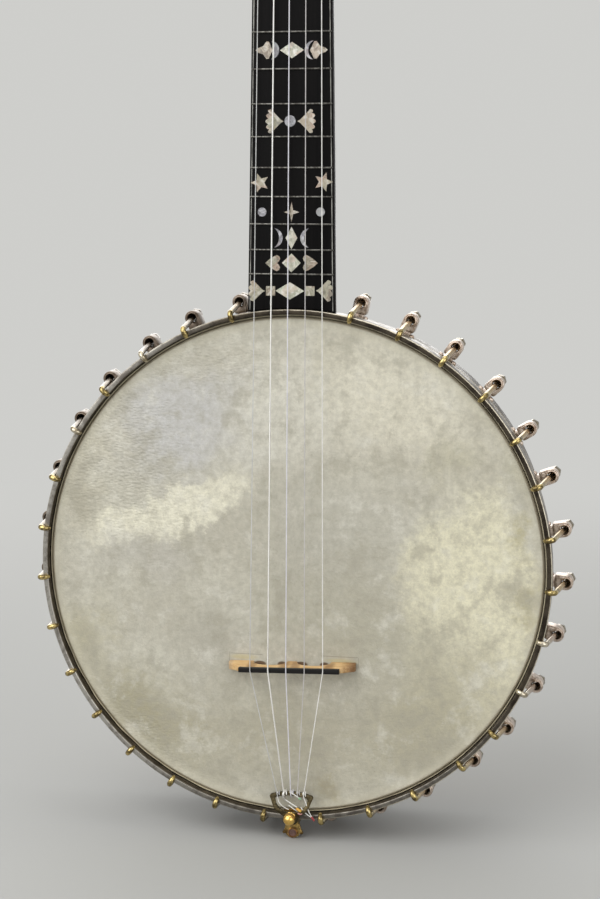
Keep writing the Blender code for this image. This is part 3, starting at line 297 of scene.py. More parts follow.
def grain(tree, where, size, detail=4.0, rough=0.55, stretch=(1, 1, 1), distort=0.0):
    """Noise whose features are about size millimetres wide."""
    spot = put(tree, "Mapping", {"Vector": where, "Scale": stretch}).outputs[0]
    made = put(tree, "TexNoise", {"Vector": spot, "Scale": 1 / size, "Detail": detail, "Roughness": rough,
                                  "Distortion": distort})
    return made.outputs["Fac"]


def bench(tree):
    """Object coordinates as millimetres from the skin's centre."""
    place = put(tree, "TexCoord").outputs["Object"]
    return scaled(tree, vector(tree, "SUBTRACT", place, tuple(HEAD_CENTRE)), 1 / MM)


def out_from_axis(tree, across, up):
    """Distance from the pot's axis."""
    return maths(tree, "SQRT", maths(tree, "ADD", times(tree, across, across), times(tree, up, up)))


def around(tree, where):
    """Coordinates that follow the rim: along its circumference, out from its axis, back."""
    across, back, up = axes(tree, where)
    along = times(tree, maths(tree, "ARCTAN2", up, across), RIM_RADIUS)
    return put(tree, "CombineXYZ", {0: along, 1: out_from_axis(tree, across, up), 2: back}).outputs[0]


def finish(name, roughness=0.5, metallic=0.0, **sockets):
    """A material, its node tree and its shader with the even values set."""
    made = bpy.data.materials.new(name)
    made.use_nodes = True
    tree = made.node_tree
    shader = tree.nodes["Principled BSDF"]
    shader.inputs["Roughness"].default_value = roughness
    shader.inputs["Metallic"].default_value = metallic
    for key, value in sockets.items():
        shader.inputs[key.replace("_", " ")].default_value = value
    return made, tree, shader


def relief(tree, shader, height, depth):
    """Bump of a depth in millimetres."""
    made = put(tree, "Bump", {"Strength": 1.0, "Distance": depth * MM, "Height": height})
    tree.links.new(made.outputs[0], shader.inputs["Normal"])


def patch(tree, where, centre, half, lean, soft):
    """Share of a soft oval on the skin; half is its half sizes, lean in degrees."""
    all_deep = 1e6
    spot = put(tree, "Mapping", {"Vector": where, "Location": (centre[0], 0, centre[1]),
                                 "Rotation": (0, math.radians(-lean), 0),
                                 "Scale": (half[0], all_deep, half[1])}, vector_type="TEXTURE").outputs[0]
    reach = put(tree, "VectorMath", {0: spot}, operation="LENGTH").outputs["Value"]
    return rise(tree, reach, 1.0 + soft * 0.5, 1.0 - soft)


def drift(tree, where, scale, detail, rough, far):
    """A push in every direction by up to half of far, which frays the edges of a stain."""
    noise = put(tree, "TexNoise", {"Vector": where, "Scale": scale, "Detail": detail, "Roughness": rough})
    return scaled(tree, vector(tree, "SUBTRACT", noise.outputs["Color"], (0.5, 0.5, 0.5)), far)


# Stains of the skin: tone, share, centre, half sizes, lean in degrees and softness
SKIN_STAINS = (
    # Cream patches left and right
    ((0.730, 0.700, 0.560), 1.00, (-74, 31), (54, 17), 26, 0.3),
    ((0.700, 0.665, 0.490), 1.00, (106, -24), (43, 74), -6, 0.25),
    # Pale clouds by the neck and a brown one at the left edge
    ((0.680, 0.645, 0.520), 0.80, (66, 98), (66, 44), -25, 0.9),
    ((0.680, 0.660, 0.570), 0.75, (-8, 100), (40, 48), 0, 0.9),
    ((0.640, 0.605, 0.480), 0.60, (-122, 84), (20, 40), -30, 0.9),
    ((0.475, 0.440, 0.335), 0.80, (-126, 34), (17, 22), 0, 0.9),
    # Greys between the cream patches, bluish at the upper left
    ((0.400, 0.380, 0.315), 0.80, (-46, -44), (30, 30), 20, 0.9),
    ((0.420, 0.395, 0.315), 0.75, (54, -16), (22, 34), -10, 0.9),
    ((0.450, 0.430, 0.375), 0.70, (-90, 2), (36, 16), 10, 0.9),
    ((0.505, 0.500, 0.490), 0.90, (-70, 88), (46, 32), 10, 0.8),
    ((0.445, 0.428, 0.360), 0.75, (30, 22), (56, 44), 30, 0.9),
    ((0.400, 0.378, 0.290), 0.85, (44, -36), (66, 32), -20, 0.9),
    # Browns below the bridge and by the tailpiece
    ((0.335, 0.305, 0.200), 0.95, (-88, -96), (54, 26), -38, 0.9),
    ((0.380, 0.350, 0.250), 0.90, (82, -88), (56, 34), 25, 0.9),
    ((0.395, 0.365, 0.270), 0.80, (-10, -104), (70, 34), 0, 0.9),
    ((0.300, 0.262, 0.160), 0.75, (20, -136), (13, 9), 10, 1.0),
    # Small amber stains, most of them at the edge
    ((0.470, 0.445, 0.330), 0.85, (90, 64), (19, 15), 0, 0.9),
    ((0.430, 0.390, 0.230), 0.90, (141, 22), (11, 15), 0, 0.9),
    ((0.460, 0.440, 0.330), 0.70, (129, 60), (15, 13), 0, 0.9),
    ((0.440, 0.400, 0.250), 0.85, (140, -16), (9, 10), 0, 0.9),
    ((0.520, 0.490, 0.380), 0.60, (23, 118), (13, 24), 0, 0.9),
    ((0.430, 0.398, 0.275), 0.80, (-133, -44), (24, 22), 0, 0.9),
    ((0.340, 0.312, 0.215), 0.80, (-112, -96), (34, 9), -45, 1.0),
)

# Where the hide is wrinkled: centre, half sizes, lean in degrees and share
SKIN_WRINKLES = (((-112, 66), (46, 62), 35, 1.0), ((-60, 126), (70, 26), -10, 0.6),
                 ((-96, -116), (46, 24), -40, 0.5))


def stain_skin(tree, where, frayed):
    """Clouds and stains of the hide, its mottling and its freckles."""
    cloud = grain(tree, where, 46, 6, 0.62)
    colour = tint(tree, (0.455, 0.430, 0.350), (0.565, 0.545, 0.455), cloud, 0.36, 0.66)
    for tone, share, centre, half, lean, soft in SKIN_STAINS:
        oval = patch(tree, frayed, centre, half, lean, soft)
        colour = mix(tree, times(tree, oval, share), colour, tone)
    mottle = grain(tree, where, 24.0, 8, 0.68, distort=0.15)
    colour = tint(tree, colour, (0.345, 0.322, 0.250), mottle, 0.49, 0.64, 0.60)
    colour = tint(tree, colour, (0.700, 0.685, 0.605), mottle, 0.48, 0.33, 0.46)
    freckle = grain(tree, where, 4.5, 6, 0.72)
    colour = tint(tree, colour, (0.310, 0.295, 0.240), freckle, 0.34, 0.68, 0.44)
    fleck = grain(tree, where, 1.1, 3, 0.7)
    return tint(tree, colour, (0.25, 0.23, 0.17), fleck, 0.56, 0.76, 0.50), freckle


def shade_bridge_place(tree, colour, where, back):
    """Brown shade in the bridge's arches, on the skin's front alone, and a yellow stain by each end."""
    front = rise(tree, back, 0.3, 0.1, 0.0, 0.92)
    arches = (((-19.6, -60.1), 4.0), ((-6.0, -59.8), 3.0), ((6.0, -59.4), 4.0), ((20.0, -59.1), 3.0))
    for centre, wide in arches:
        shade = times(tree, patch(tree, where, centre, (wide, 1.8), 0, 0.3), front)
        colour = mix(tree, shade, colour, (0.095, 0.044, 0.013))
    for centre, half in (((-30.0, -56.4), (9.0, 1.8)), ((30.0, -56.2), (10.0, 1.6))):
        stain = times(tree, patch(tree, where, centre, half, 0, 0.6), 0.55)
        colour = mix(tree, stain, colour, (0.47, 0.42, 0.22))
    return colour


def pencil(tree, colour, run, ends, blur, off, level, share):
    """A pencil line between two ends along run, where off is at a level."""
    inside = times(tree, rise(tree, run, ends[0] - blur, ends[0] + blur),
                   rise(tree, run, ends[1] + blur, ends[1] - blur))
    near = maths(tree, "ABSOLUTE", maths(tree, "SUBTRACT", off, level))
    line = times(tree, inside, rise(tree, near, 0.42, 0.10, 0.0, share))
    return mix(tree, line, colour, (0.16, 0.15, 0.12))


def roughen_skin(tree, where, frayed):
    """Height of the hide's pebbled grain, strong where it is wrinkled, with pores and swells."""
    drawn = put(tree, "Mapping", {"Vector": where, "Rotation": (0, math.radians(28), 0),
                                  "Scale": (0.42, 0.6, 0.78)}).outputs[0]
    pebble = put(tree, "TexVoronoi", {"Vector": drawn, "Scale": 1.0}, feature="SMOOTH_F1").outputs["Distance"]
    wrinkled = 0.0
    for centre, half, lean, share in SKIN_WRINKLES:
        oval = times(tree, patch(tree, frayed, centre, half, lean, 0.9), share)
        wrinkled = maths(tree, "MAXIMUM", wrinkled, oval)
    pebbles = times(tree, pebble, maths(tree, "MULTIPLY_ADD", wrinkled, 0.85, 0.12))
    pores = times(tree, grain(tree, where, 1.4, 5, 0.7), 0.34)
    swells = times(tree, grain(tree, where, 11.0, 3, 0.5), 0.8)
    return maths(tree, "ADD", maths(tree, "ADD", pebbles, pores), swells)


def make_calf_skin():
    """Old calf hide: stained, with painted shade along the hoop and in the bridge's arches, its cut flap
    turned brown, pencilled at the bridge.
    """
    made, tree, shader = finish("calf_skin", 0.55)
    where = bench(tree)
    across, back, up = axes(tree, where)
    pushed = drift(tree, where, 0.022, 5.0, 0.62, 62.0)
    torn = drift(tree, where, 0.17, 6.0, 0.72, 30.0)
    frayed = vector(tree, "ADD", vector(tree, "ADD", where, pushed), torn)
    colour, freckle = stain_skin(tree, where, frayed)
    reach = out_from_axis(tree, across, up)
    # Paler towards the edge, then painted shade where the skin turns down under the band
    colour = tint(tree, colour, (0.66, 0.62, 0.47), reach, 142.0, 148.5, 0.30)
    colour = tint(tree, colour, (0.26, 0.20, 0.11), reach, 149.0, 150.0, 0.55)
    colour = shade_bridge_place(tree, colour, where, back)
    flap = rise(tree, reach, FLAP_INNER - 0.15, FLAP_INNER)
    browning_and_dark_reflection = times(tree, flap, rise(tree, freckle, 0.3, 0.6, 0.5, 0.95))
    colour = mix(tree, browning_and_dark_reflection, colour, (0.50, 0.44, 0.30))
    for ends, level in (((-38.0, -18.0), -54.5), ((18.0, 40.5), -53.5)):
        colour = pencil(tree, colour, across, ends, 0.6, up, level, 0.45)
    for level in (-38.6, 40.8):
        colour = pencil(tree, colour, up, (-60.0, -53.5), 0.5, across, level, 0.35)
    feed(tree, shader.inputs["Base Color"], colour)
    relief(tree, shader, roughen_skin(tree, where, frayed), 0.60)
    feed(tree, shader.inputs["Roughness"], rise(tree, grain(tree, where, 22, 4, 0.6), 0.3, 0.7, 0.44, 0.62))
    return made


def make_metal(name, bright, dull, rough=(0.2, 0.4), size=6.0, dent=0.02, dulling_and_silvery_reflection=(0.42, 0.62), spots=None):
    """Worn plating: bright metal, duller in clouds, with fine scratches."""
    made, tree, shader = finish(name, rough[0], 1.0)
    where = bench(tree)
    cloud = grain(tree, where, size, 6, 0.65)
    colour = tint(tree, bright, dull, cloud, *dulling_and_silvery_reflection)
    if spots:
        colour = tint(tree, colour, spots, grain(tree, where, size * 0.22, 4, 0.7), 0.56, 0.66, 0.8)
    feed(tree, shader.inputs["Base Color"], colour)
    scratch = grain(tree, where, 0.5, 5, 0.7, stretch=(1, 1, 0.25))
    even = rise(tree, cloud, 0.3, 0.7, *rough)
    feed(tree, shader.inputs["Roughness"], maths(tree, "ADD", even, times(tree, scratch, 0.08)))
    relief(tree, shader, maths(tree, "ADD", cloud, times(tree, scratch, 0.35)), dent)
    return made


def make_hook_metal(name, bright, dull, shank):
    """Worn brass on the claws, rosy down the shank, pale just above the shoe, dark on its nut, with painted
    shade on the shanks towards the bass side.
    """
    made, tree, shader = finish(name, 0.2, 1.0)
    where = bench(tree)
    across, back, up = axes(tree, where)
    cloud = grain(tree, where, 3.2, 6, 0.66)
    colour = tint(tree, bright, dull, cloud, 0.40, 0.60)
    colour = tint(tree, colour, shank, back, -2.5, 4.0, 0.85)
    # Paler just above the shoe
    colour = tint(tree, colour, (0.66, 0.57, 0.46), back, 17.0, 22.0, 0.50)
    colour = tint(tree, colour, (0.15, 0.12, 0.065), back, 32.0, 34.5, 0.85)
    # Painted shade on the shanks, below the band's top, growing towards the bass side
    shaded = times(tree, rise(tree, across, 10.0, -60.0), rise(tree, back, -5.0, -1.5, 0.0, 0.88))
    colour = mix(tree, shaded, colour, (0.085, 0.062, 0.036))
    feed(tree, shader.inputs["Base Color"], colour)
    feed(tree, shader.inputs["Roughness"], rise(tree, cloud, 0.3, 0.7, 0.14, 0.30))
    relief(tree, shader, cloud, 0.03)
    return made


def make_shoe_metal():
    """Smooth rosy plating, with a painted dark reflection towards the bass side."""
    made, tree, shader = finish("rosy_nickel", 0.34, 1.0)
    where = bench(tree)
    across, back, up = axes(tree, where)
    cloud = grain(tree, where, 3.0, 4, 0.6)
    colour = tint(tree, (0.34, 0.260, 0.205), (0.70, 0.600, 0.520), cloud, 0.36, 0.60)
    # Painted dark reflection, growing towards the bass side
    colour = tint(tree, colour, (0.13, 0.100, 0.075), across, 20.0, -60.0, 0.86)
    feed(tree, shader.inputs["Base Color"], colour)
    feed(tree, shader.inputs["Roughness"], rise(tree, cloud, 0.3, 0.7, 0.28, 0.42))
    return made


def make_hoop_metal():
    """Dull plating; on the band's face a painted dark reflection in brown, silvery towards the bottom, with a
    painted silvery reflection at the left and a painted highlight along its outer edge.
    """
    made, tree, shader = finish("dulled_nickel", 0.34, 1.0)
    where = bench(tree)
    across, back, up = axes(tree, where)
    cloud = grain(tree, where, 8.0, 6, 0.68)
    colour = tint(tree, (0.25, 0.225, 0.20), (0.11, 0.095, 0.08), cloud, 0.36, 0.62)
    # The band's face: a painted dark reflection in brown, turning silvery towards the bottom
    browning_and_dark_reflection = tint(tree, (0.085, 0.070, 0.052), (0.032, 0.026, 0.020), cloud, 0.40, 0.64)
    dulling_and_silvery_reflection = tint(tree, (0.44, 0.42, 0.38), (0.20, 0.18, 0.16), cloud, 0.40, 0.64)
    browning_and_dark_reflection = tint(tree, browning_and_dark_reflection, dulling_and_silvery_reflection, up, -70.0, -140.0, 0.45)
    face = rise(tree, back, 1.1 - HOOP_TOP, 0.4 - HOOP_TOP)
    # The face turns to a painted silvery reflection towards the left
    colour = mix(tree, face, colour, tint(tree, browning_and_dark_reflection, dulling_and_silvery_reflection, across, -30.0, -120.0))
    reach = out_from_axis(tree, across, up)
    # A painted highlight along the face's outer edge, stronger towards the right
    fray = times(tree, grain(tree, where, 2.6, 5, 0.7), 0.9)
    edge = rise(tree, maths(tree, "ADD", reach, fray), HOOP_OUTER - 0.25, HOOP_OUTER + 0.15)
    edge = times(tree, edge, rise(tree, across, -40.0, 60.0, 0.25, 0.95))
    colour = mix(tree, times(tree, edge, face), colour, (0.66, 0.60, 0.48))
    feed(tree, shader.inputs["Base Color"], colour)
    feed(tree, shader.inputs["Roughness"], rise(tree, cloud, 0.3, 0.7, 0.26, 0.46))
    relief(tree, shader, cloud, 0.05)
    return made


def make_wood(name, pale, dark, size=2.6, along=(1, 1, 0.06), rough=0.4, ringed=False, depth=0.05, fleck=None,
              gloss=0.5):
    """Long grain: streaks many times longer than wide, with pores."""
    made, tree, shader = finish(name, rough, Specular_IOR_Level=gloss)
    where = bench(tree)
    if ringed:
        where = around(tree, where)
    broad = grain(tree, where, size * 5, 3, 0.5, along, 0.6)
    streak = grain(tree, where, size, 6, 0.65, along, 0.3)
    pore = grain(tree, where, size * 0.22, 4, 0.7, along)
    colour = tint(tree, dark, pale, streak, 0.34, 0.66)
    colour = tint(tree, colour, tuple(c * 0.72 for c in dark), broad, 0.3, 0.7, 0.5)
    if fleck:
        colour = tint(tree, colour, fleck, pore, 0.58, 0.74, 0.7)
    feed(tree, shader.inputs["Base Color"], colour)
    feed(tree, shader.inputs["Roughness"], rise(tree, streak, 0.3, 0.7, rough - 0.07, rough + 0.08))
    relief(tree, shader, maths(tree, "ADD", streak, times(tree, pore, 0.6)), depth)
    return made


def make_bridge_maple():
    """Maple with brown end grain at the treble end, and painted shade over the feet at the ends of the
    arches.
    """
    made, tree, shader = finish("bridge_maple", 0.48)
    where = bench(tree)
    across, back, up = axes(tree, where)
    streak = grain(tree, where, 1.4, 5, 0.6, (0.1, 1, 1), 0.2)
    colour = tint(tree, (0.52, 0.31, 0.12), (0.74, 0.52, 0.26), streak, 0.3, 0.7)
    ragged = rise(tree, grain(tree, where, 3.0, 4, 0.7), 0.35, 0.6, 0.35, 0.85)
    end = times(tree, rise(tree, across, 30.0, 35.5), ragged)
    colour = mix(tree, end, colour, (0.26, 0.13, 0.045))
    # Painted shade at the ends of the two arches, stronger up the bridge
    lift = times(tree, back, -1.0)
    for place in (-23.0, -3.2, 3.6, 24.4):
        near = maths(tree, "ABSOLUTE", maths(tree, "SUBTRACT", across, place))
        spot = times(tree, rise(tree, near, 4.2, 1.2, 0.0, 0.62), rise(tree, lift, 1.0, 4.0, 0.5, 1.0))
        colour = mix(tree, spot, colour, (0.20, 0.095, 0.035))
    colour = tint(tree, colour, (0.42, 0.30, 0.20), across, -34.5, -37.0, 0.55)
    colour = tint(tree, colour, (0.17, 0.080, 0.028), across, 34.5, 38.0, 0.75)
    feed(tree, shader.inputs["Base Color"], colour)
    relief(tree, shader, streak, 0.05)
    return made


def make_pearl(name, low, high, rose, green, pale, dark):
    """Mother-of-pearl, each inlay cut from another part of the shell."""
    made, tree, shader = finish(name, 0.22, Coat_Weight=0.2, Coat_Roughness=0.12)
    where = bench(tree)
    shell = put(tree, "TexVoronoi", {"Vector": where, "Scale": 0.13}, feature="F1").outputs["Color"]
    rosiness, greenness, rest = axes(tree, shell)
    layer = grain(tree, where, 3.4, 5, 0.6, (1.0, 1.0, 0.7), 1.6)
    shimmer = grain(tree, where, 8.0, 3, 0.5, (1, 1, 1), 2.2)
    colour = tint(tree, low, high, layer, 0.34, 0.66)
    colour = tint(tree, colour, rose, rosiness, 0.45, 0.75, 0.50)
    colour = tint(tree, colour, green, greenness, 0.50, 0.80, 0.40)
    colour = tint(tree, colour, pale, shimmer, 0.52, 0.64, 0.60)
    colour = tint(tree, colour, dark, shimmer, 0.46, 0.36, 0.55)
    feed(tree, shader.inputs["Base Color"], colour)
    relief(tree, shader, layer, 0.02)
    return made


def make_plain(name, colour, second, size, rough, depth=0.02, **sockets):
    """A small even material with a slight cloud in it."""
    made, tree, shader = finish(name, rough, **sockets)
    cloud = grain(tree, bench(tree), size, 5, 0.6)
    feed(tree, shader.inputs["Base Color"], tint(tree, colour, second, cloud, 0.35, 0.65))
    relief(tree, shader, cloud, depth)
    return made


def make_gut(name, colour, second):
    return make_plain(name, colour, second, 5.0, 0.34, 0.01)


def make_silk(name, colour, second):
    return make_plain(name, colour, second, 0.8, 0.6, 0.1)


def make_wound_string():
    """Silver wire wound close round a silk core."""
    made, tree, shader = finish("silver_wound", 0.3, 0.9)
    where = bench(tree)
    turns = put(tree, "TexWave", {"Vector": where, "Scale": 1.1}, bands_direction="Z").outputs["Fac"]
    feed(tree, shader.inputs["Base Color"], mix(tree, turns, (0.62, 0.61, 0.58), (0.93, 0.92, 0.89)))
    relief(tree, shader, turns, 0.05)
    return made


CALF_SKIN = make_calf_skin()
WORN_BRASS = make_hook_metal("worn_brass", bright=(0.56, 0.440, 0.190), dull=(0.13, 0.095, 0.040),
                             shank=(0.43, 0.290, 0.125))
SILVERED_HOOK = make_hook_metal("silvered_hook", bright=(0.66, 0.60, 0.48), dull=(0.30, 0.25, 0.17),
                                shank=(0.44, 0.33, 0.25))
WORN_GOLD = make_metal("worn_gold", bright=(0.56, 0.38, 0.13), dull=(0.17, 0.105, 0.040), rough=(0.14, 0.30),
                       size=2.4, dent=0.03, dulling_and_silvery_reflection=(0.40, 0.60))
POLISHED_GOLD = make_metal("polished_gold", bright=(0.85, 0.56, 0.16), dull=(0.62, 0.36, 0.10),
                           rough=(0.08, 0.18), size=7.0, dent=0.01)
ROSY_GOLD = make_metal("rosy_gold", bright=(0.56, 0.33, 0.15), dull=(0.34, 0.19, 0.09), rough=(0.22, 0.36),
                       size=3.0, dent=0.03)
ROSY_NICKEL = make_shoe_metal()
DULLED_NICKEL = make_hoop_metal()
AGED_NICKEL = make_metal("aged_nickel", bright=(0.155, 0.135, 0.118), dull=(0.072, 0.060, 0.050),
                         rough=(0.24, 0.44), size=16.0, dent=0.03, dulling_and_silvery_reflection=(0.40, 0.66))
DARK_BRONZE = make_metal("dark_bronze", bright=(0.14, 0.110, 0.058), dull=(0.050, 0.040, 0.022),
                         rough=(0.24, 0.42), size=3.0, dent=0.04, dulling_and_silvery_reflection=(0.38, 0.60),
                         spots=(0.24, 0.195, 0.105))
WORN_FRET = make_metal("worn_fret", bright=(0.17, 0.165, 0.15), dull=(0.060, 0.056, 0.050),
                       rough=(0.24, 0.42), size=2.0, dent=0.01, dulling_and_silvery_reflection=(0.40, 0.60))
NICKEL_SILVER = make_metal("nickel_silver", bright=(0.46, 0.45, 0.40), dull=(0.22, 0.21, 0.18),
                           rough=(0.22, 0.38), size=2.4, dent=0.01)
BLUED_STEEL = make_metal("blued_steel", bright=(0.22, 0.21, 0.21), dull=(0.10, 0.09, 0.09), rough=(0.26, 0.4),
                         size=4.0)
# Dark disc of painted shade for the inside of the eyelet's hole
EYELET_PIT = make_plain("eyelet_pit", (0.10, 0.050, 0.040), (0.16, 0.085, 0.065), 1.5, 0.5)
EBONY = make_wood("ebony", pale=(0.014, 0.012, 0.011), dark=(0.007, 0.006, 0.006), size=2.2,
                  along=(1, 1, 0.05), rough=0.34, depth=0.03, fleck=(0.018, 0.015, 0.012), gloss=0.2)
EBONY_BOARD = make_wood("ebony_board", pale=(0.0050, 0.0045, 0.0045), dark=(0.0024, 0.0021, 0.0022),
                        along=(1, 1, 0.03), rough=0.5, depth=0.03, fleck=(0.010, 0.008, 0.008), gloss=0.07)
EBONY_CAP = make_wood("ebony_cap", pale=(0.012, 0.011, 0.010), dark=(0.005, 0.0045, 0.0045), size=1.6,
                      along=(0.06, 1, 1), rough=0.34, depth=0.02, gloss=0.2)
RIM_MAPLE = make_wood("rim_maple", pale=(0.50, 0.29, 0.125), dark=(0.36, 0.185, 0.07), size=3.0,
                      along=(0.05, 1, 1), rough=0.42, ringed=True)
STICK_MAPLE = make_wood("stick_maple", pale=(0.54, 0.33, 0.15), dark=(0.40, 0.215, 0.085), size=2.8,
                        along=(1, 1, 0.05))
BRIDGE_MAPLE = make_bridge_maple()
MOTHER_OF_PEARL = make_pearl("mother_of_pearl", low=(0.20, 0.16, 0.115), high=(0.45, 0.39, 0.31),
                             rose=(0.40, 0.27, 0.20), green=(0.34, 0.37, 0.27), pale=(0.60, 0.57, 0.50),
                             dark=(0.14, 0.125, 0.105))
GREY_PEARL = make_pearl("grey_pearl", low=(0.17, 0.165, 0.175), high=(0.36, 0.355, 0.385),
                        rose=(0.36, 0.30, 0.30), green=(0.27, 0.31, 0.29), pale=(0.56, 0.56, 0.58),
                        dark=(0.12, 0.12, 0.13))
PALE_PEARL = make_pearl("pale_pearl", low=(0.34, 0.34, 0.26), high=(0.62, 0.60, 0.50),
                        rose=(0.58, 0.43, 0.36), green=(0.46, 0.52, 0.40), pale=(0.74, 0.73, 0.68),
                        dark=(0.26, 0.26, 0.21))
BONE = make_plain("bone", (0.72, 0.65, 0.50), (0.80, 0.74, 0.60), 2.5, 0.34)
EDGE_LINE = make_plain("edge_line", (0.070, 0.068, 0.060), (0.27, 0.265, 0.24), 15.0, 0.35, Metallic=0.3)
GUT_STRING = make_gut("gut_string", (0.66, 0.65, 0.61), (0.78, 0.77, 0.74))
GREY_GUT = make_gut("grey_gut", (0.46, 0.46, 0.45), (0.56, 0.56, 0.55))
DIM_GUT = make_gut("dim_gut", (0.44, 0.42, 0.42), (0.54, 0.52, 0.50))
LILAC_GUT = make_gut("lilac_gut", (0.58, 0.57, 0.62), (0.68, 0.67, 0.71))
SILVER_WOUND = make_wound_string()
RED_SILK = make_silk("red_silk", (0.42, 0.07, 0.075), (0.30, 0.045, 0.05))
YELLOW_SILK = make_silk("yellow_silk", (0.70, 0.42, 0.06), (0.52, 0.24, 0.045))
GREEN_SILK = make_silk("green_silk", (0.20, 0.42, 0.24), (0.34, 0.52, 0.34))
ROSE_SILK = make_silk("rose_silk", (0.50, 0.26, 0.24), (0.40, 0.18, 0.17))

# Each string's paint and the share of its real thickness that reads as in the photograph
STRING_LOOKS = {1: (GUT_STRING, 1.0), 2: (DIM_GUT, 0.8), 3: (LILAC_GUT, 0.85), 4: (SILVER_WOUND, 1.0),
                5: (GREY_GUT, 0.9)}


# Shapes

def place_piece(name, work, paint, place=POT, node=None, body=ROOT, angle=32):
    """Stands a finished bench shape in its place, as a piece that rides on a body."""
    bmesh.ops.remove_doubles(work, verts=work.verts, dist=WELD)
    work.transform(place)
    bmesh.ops.recalc_face_normals(work, faces=work.faces)
    mesh = bpy.data.meshes.new(name)
    work.to_mesh(mesh)
    work.free()
    mesh.materials.append(paint)
    mesh.shade_smooth()
    mesh.set_sharp_from_angle(angle=math.radians(angle))
    made = bpy.data.objects.new(name, mesh)
    bpy.context.scene.collection.objects.link(made)
    if node:
        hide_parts(node)
    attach(made, body)


def add(work, other, place=Matrix()):
    """Puts another shape, moved into place, into this one."""
    mesh = bpy.data.meshes.new("part")
    other.to_mesh(mesh)
    mesh.transform(place)
    work.from_mesh(mesh)
    bpy.data.meshes.remove(mesh)
    other.free()


def solid_of(curve):
    """The mesh of a curve, as a shape."""
    guide = bpy.data.objects.new("guide", curve)
    bpy.context.scene.collection.objects.link(guide)
    mesh = bpy.data.meshes.new_from_object(guide.evaluated_get(bpy.context.evaluated_depsgraph_get()))
    work = bmesh.new()
    work.from_mesh(mesh)
    bpy.data.objects.remove(guide)
    bpy.data.curves.remove(curve)
    bpy.data.meshes.remove(mesh)
    return work


def plate(outlines, low, high, ease=0.0, steps=2):
    """A flat piece from closed (x, y) outlines, the first outside and the rest holes."""
    curve = bpy.data.curves.new("plate", "CURVE")
    curve.dimensions = "2D"
    curve.fill_mode = "BOTH"
    curve.extrude = (high - low) / 2 - ease
    curve.bevel_depth = ease
    curve.bevel_resolution = steps
    curve.offset = -ease
    for number, outline in enumerate(outlines):
        area = sum(a[0] * b[1] - b[0] * a[1] for a, b in zip(outline, outline[1:] + outline[:1]))
        if (area > 0) == (number > 0):
            outline = list(reversed(outline))
        spline = curve.splines.new("POLY")
        spline.points.add(len(outline) - 1)
        for point, (x, y) in zip(spline.points, outline):
            point.co = (x, y, 0, 1)
        spline.use_cyclic_u = True
    work = solid_of(curve)
    bmesh.ops.translate(work, vec=(0, 0, (low + high) / 2), verts=work.verts)
    bmesh.ops.remove_doubles(work, verts=work.verts, dist=0.001)
    return work


def wire(points, radius, rounds=3, shares=None):
    """A round wire along points; shares gives the share of the radius at each."""
    curve = bpy.data.curves.new("wire", "CURVE")
    curve.dimensions = "3D"
    curve.bevel_depth = radius
    curve.bevel_resolution = rounds
    curve.use_fill_caps = True
    spline = curve.splines.new("POLY")
    spline.points.add(len(points) - 1)
    for i, point in enumerate(points):
        spline.points[i].co = (*point, 1)
        spline.points[i].radius = shares[i] if shares else 1.0
    return solid_of(curve)


def spun(profile, steps=48, ring=False):
    """A profile of (radius, height) points turned about Z; a ring's profile closes on itself."""
    work = bmesh.new()
    verts = [work.verts.new((r, 0, z)) for r, z in profile]
    edges = [work.edges.new(pair) for pair in zip(verts, verts[1:])]
    if ring:
        edges.append(work.edges.new((verts[-1], verts[0])))
    bmesh.ops.spin(work, geom=verts + edges, axis=(0, 0, 1), cent=(0, 0, 0), angle=math.tau, steps=steps,
                   use_merge=True)
    bmesh.ops.remove_doubles(work, verts=work.verts, dist=0.001)
    return work


def ease_edges(work, ease, steps):
    bmesh.ops.bevel(work, geom=work.edges[:], offset=ease, segments=steps, affect="EDGES", profile=0.5,
                    material=-1)


def block(low, high, ease, steps=2):
    """A box between two corners with its edges eased."""
    work = bmesh.new()
    bmesh.ops.create_cube(work, size=1.0)
    bmesh.ops.scale(work, vec=Vector(high) - Vector(low), verts=work.verts)
    bmesh.ops.translate(work, vec=(Vector(high) + Vector(low)) / 2, verts=work.verts)
    ease_edges(work, ease, steps)
    return work


def ball(radius, sides, rings):
    work = bmesh.new()
    bmesh.ops.create_uvsphere(work, u_segments=sides, v_segments=rings, radius=radius)
    return work


def lofted(rings):
    """A closed skin through rings of points."""
    work = bmesh.new()
    loops = []
    for ring in rings:
        verts = [work.verts.new(point) for point in ring]
        loops.append([work.edges.new((verts[i - 1], verts[i])) for i in range(len(verts))])
    for near, far in zip(loops, loops[1:]):
        bmesh.ops.bridge_loops(work, edges=near + far)
    for loop in (loops[0], loops[-1]):
        bmesh.ops.contextual_create(work, geom=loop)
    return work


def cut_below(work, level, way):
    """Cuts a neck shape at a level and closes it; way is the side that goes, 1 over it and -1 under it."""
    bmesh.ops.bisect_plane(work, geom=work.verts[:] + work.edges[:] + work.faces[:], dist=0.0001,
                           plane_co=(0, 0, level), plane_no=(0, 0, way), clear_outer=True)
    bmesh.ops.holes_fill(work, edges=work.edges[:])


def arc(x, y, radius, start, end, steps):
    """Points round a centre, from one angle in degrees to another."""
    turns = [math.radians(start + (end - start) * i / steps) for i in range(steps + 1)]
    return [(x + radius * math.cos(a), y + radius * math.sin(a)) for a in turns]


def eased(points, parts):
    """A smooth line through points, with parts steps between each two."""
    points = [Vector(p) for p in points]
    ends = [points[0] * 2 - points[1]] + points + [points[-1] * 2 - points[-2]]
    line = []
    for a, b, c, d in zip(ends, ends[1:], ends[2:], ends[3:]):
        for i in range(parts):
            t = i / parts
            line.append(0.5 * (2 * b + (c - a) * t + (2 * a - 5 * b + 4 * c - d) * t * t
                               + (3 * b - a - 3 * c + d) * t * t * t))
    return line + [points[-1]]


